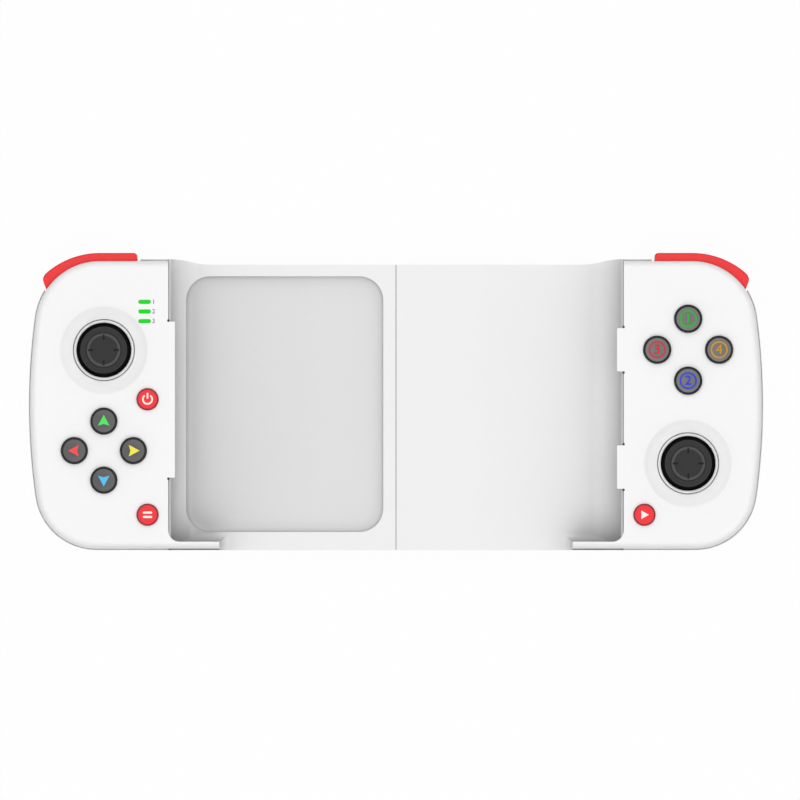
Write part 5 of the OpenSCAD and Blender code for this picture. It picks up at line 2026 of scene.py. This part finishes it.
@dataclass
class Studio:
    """Floor, lamps, world and camera."""

    frame_width: float = 0.2196
    lens: float = 1000.0
    sensor: float = 36.0
    centre: Point = (0.0011, 0.00045)
    far: float = 20.0
    floor_size: float = 6.0
    floor_gap: float = 0.0002
    floor_grey: float = 0.8
    floor_white: float = 0.97
    world_level: float = 0.36
    lamps: tuple[Softbox, ...] = (
        Softbox("back_light", (0.0, 0.65, 1.35), 1.0, 0.21),
        Softbox("left_light", (-0.6, 0.0, 1.4), 0.9, 0.13),
        Softbox("right_light", (0.6, 0.0, 1.4), 0.9, 0.13),
        Softbox("front_light", (0.0, -0.65, 1.35), 1.0, 0.18),
    )

    def build(self) -> None:
        """Builds the whole stage."""
        scene = bpy.context.scene
        scene.view_settings.view_transform = "Standard"
        self.floor()
        self.world()
        for lamp in self.lamps:
            lamp.hang()
        self.camera()

    def floor(self) -> None:
        """Lays a white floor that keeps the object's shadow."""
        bm = bmesh.new()
        bmesh.ops.create_grid(bm, x_segments=1, y_segments=1, size=self.floor_size / 2,
                              matrix=Matrix.Translation((0, 0, -self.floor_gap)))
        mesh = bpy.data.meshes.new("floor")
        bm.to_mesh(mesh)
        bm.free()
        obj = bpy.data.objects.new("floor", mesh)
        bpy.context.scene.collection.objects.link(obj)
        mesh.materials.append(self.floor_material())

    def floor_material(self) -> bpy.types.Material:
        """Makes a floor that looks white, but takes light and shadow as a grey one.

        Returns:
            The material.
        """
        made = bpy.data.materials.new("floor_white")
        made.use_nodes = True
        tree = made.node_tree
        tree.nodes.clear()
        leave = tree.nodes.new("ShaderNodeOutputMaterial")
        matt = tree.nodes.new("ShaderNodeBsdfDiffuse")
        matt.inputs["Color"].default_value = (*[self.floor_grey] * 3, 1.0)
        white = tree.nodes.new("ShaderNodeEmission")
        mixed = tree.nodes.new("ShaderNodeMixShader")
        share = tree.nodes.new("ShaderNodeMath")
        share.operation = "MULTIPLY"
        share.inputs[1].default_value = self.floor_white
        tree.links.new(self._seen(tree), share.inputs[0])
        tree.links.new(share.outputs[0], mixed.inputs["Fac"])
        tree.links.new(matt.outputs["BSDF"], mixed.inputs[1])
        tree.links.new(white.outputs["Emission"], mixed.inputs[2])
        tree.links.new(mixed.outputs["Shader"], leave.inputs["Surface"])
        return made

    @staticmethod
    def _seen(tree: bpy.types.NodeTree) -> bpy.types.NodeSocket:
        """Adds nodes that tell whether a ray comes from the camera, gloss or glass.

        Args:
            tree: Node tree to add to.

        Returns:
            A socket that is 1 for such rays.
        """
        path = tree.nodes.new("ShaderNodeLightPath")
        seen = path.outputs["Is Camera Ray"]
        for ray in ("Is Glossy Ray", "Is Transmission Ray"):
            either = tree.nodes.new("ShaderNodeMath")
            either.operation = "MAXIMUM"
            tree.links.new(seen, either.inputs[0])
            tree.links.new(path.outputs[ray], either.inputs[1])
            seen = either.outputs[0]
        return seen

    def world(self) -> None:
        """Sets an even world that is white to the camera."""
        world = bpy.data.worlds.new("studio")
        bpy.context.scene.world = world
        world.use_nodes = True
        tree = world.node_tree
        shader = tree.nodes["Background"]
        level = tree.nodes.new("ShaderNodeMapRange")
        level.inputs["To Min"].default_value = self.world_level
        level.inputs["To Max"].default_value = 1.0
        tree.links.new(self._seen(tree), level.inputs["Value"])
        tree.links.new(level.outputs["Result"], shader.inputs["Strength"])
        shader.inputs["Color"].default_value = (1.0, 1.0, 1.0, 1.0)

    def camera(self) -> None:
        """Hangs the camera straight above with a long lens."""
        data = bpy.data.cameras.new("camera")
        data.lens = self.lens
        data.sensor_width = self.sensor
        data.clip_end = self.far
        obj = bpy.data.objects.new("camera", data)
        away = self.frame_width * self.lens / self.sensor
        obj.location = (*self.centre, away + SIZES.front_z * MM)
        bpy.context.scene.collection.objects.link(obj)
        bpy.context.scene.camera = obj


def main() -> None:
    """Builds the stage and every piece of the controller."""
    logging.basicConfig(level=logging.INFO, format="%(message)s")
    Studio().build()
    InnerParts.dress()
    indicators = Indicators()
    left = Grip(Side.LEFT, stick_y=15.0, keys_y=-12.6, key_pitch=8.1, key_r=3.7,
                small_y=(1.5, -30.2), tabs=((-20.0, 22.8),), lamps=indicators.places)
    right = Grip(Side.RIGHT, stick_y=-16.1, keys_y=15.1, key_pitch=8.5, key_r=3.85,
                 small_y=(-30.2,), tabs=((-23.05, -11.15), (9.15, 21.05)), socket=True)
    left.build()
    right.build()
    BayTray(Side.LEFT, left.tabs, recess=True).build()
    BayTray(Side.RIGHT, right.tabs).build()
    pad_names = ("dpad_up", "dpad_down", "dpad_right", "dpad_left")
    face_names = ("face_top", "face_bottom", "face_left", "face_right")
    Keys(Side.LEFT, left, pad_names, DARK_CAP, "dark_key",
         (GREEN_MARK, BLUE_MARK, YELLOW_MARK, RED_MARK)).build()
    Keys(Side.RIGHT, right, face_names, GREY_CAP, "grey_key",
         (FACE_GREEN, FACE_BLUE, FACE_RED, FACE_AMBER)).build()
    SmallKeys(Side.LEFT, left, ("power_button", "select_button")).build()
    SmallKeys(Side.RIGHT, right, ("start_button",)).build()
    KeyDomes(Side.LEFT, left, pad_names, ("power_button", "select_button")).build()
    KeyDomes(Side.RIGHT, right, face_names, ("start_button",)).build()
    Stick(Side.LEFT, left.stick_y).build()
    Stick(Side.RIGHT, right.stick_y).build()
    Shoulder(Side.LEFT).build()
    Shoulder(Side.RIGHT).build()
    indicators.build()
    BridgeLinks().build()


if __name__ == "__main__":
    main()
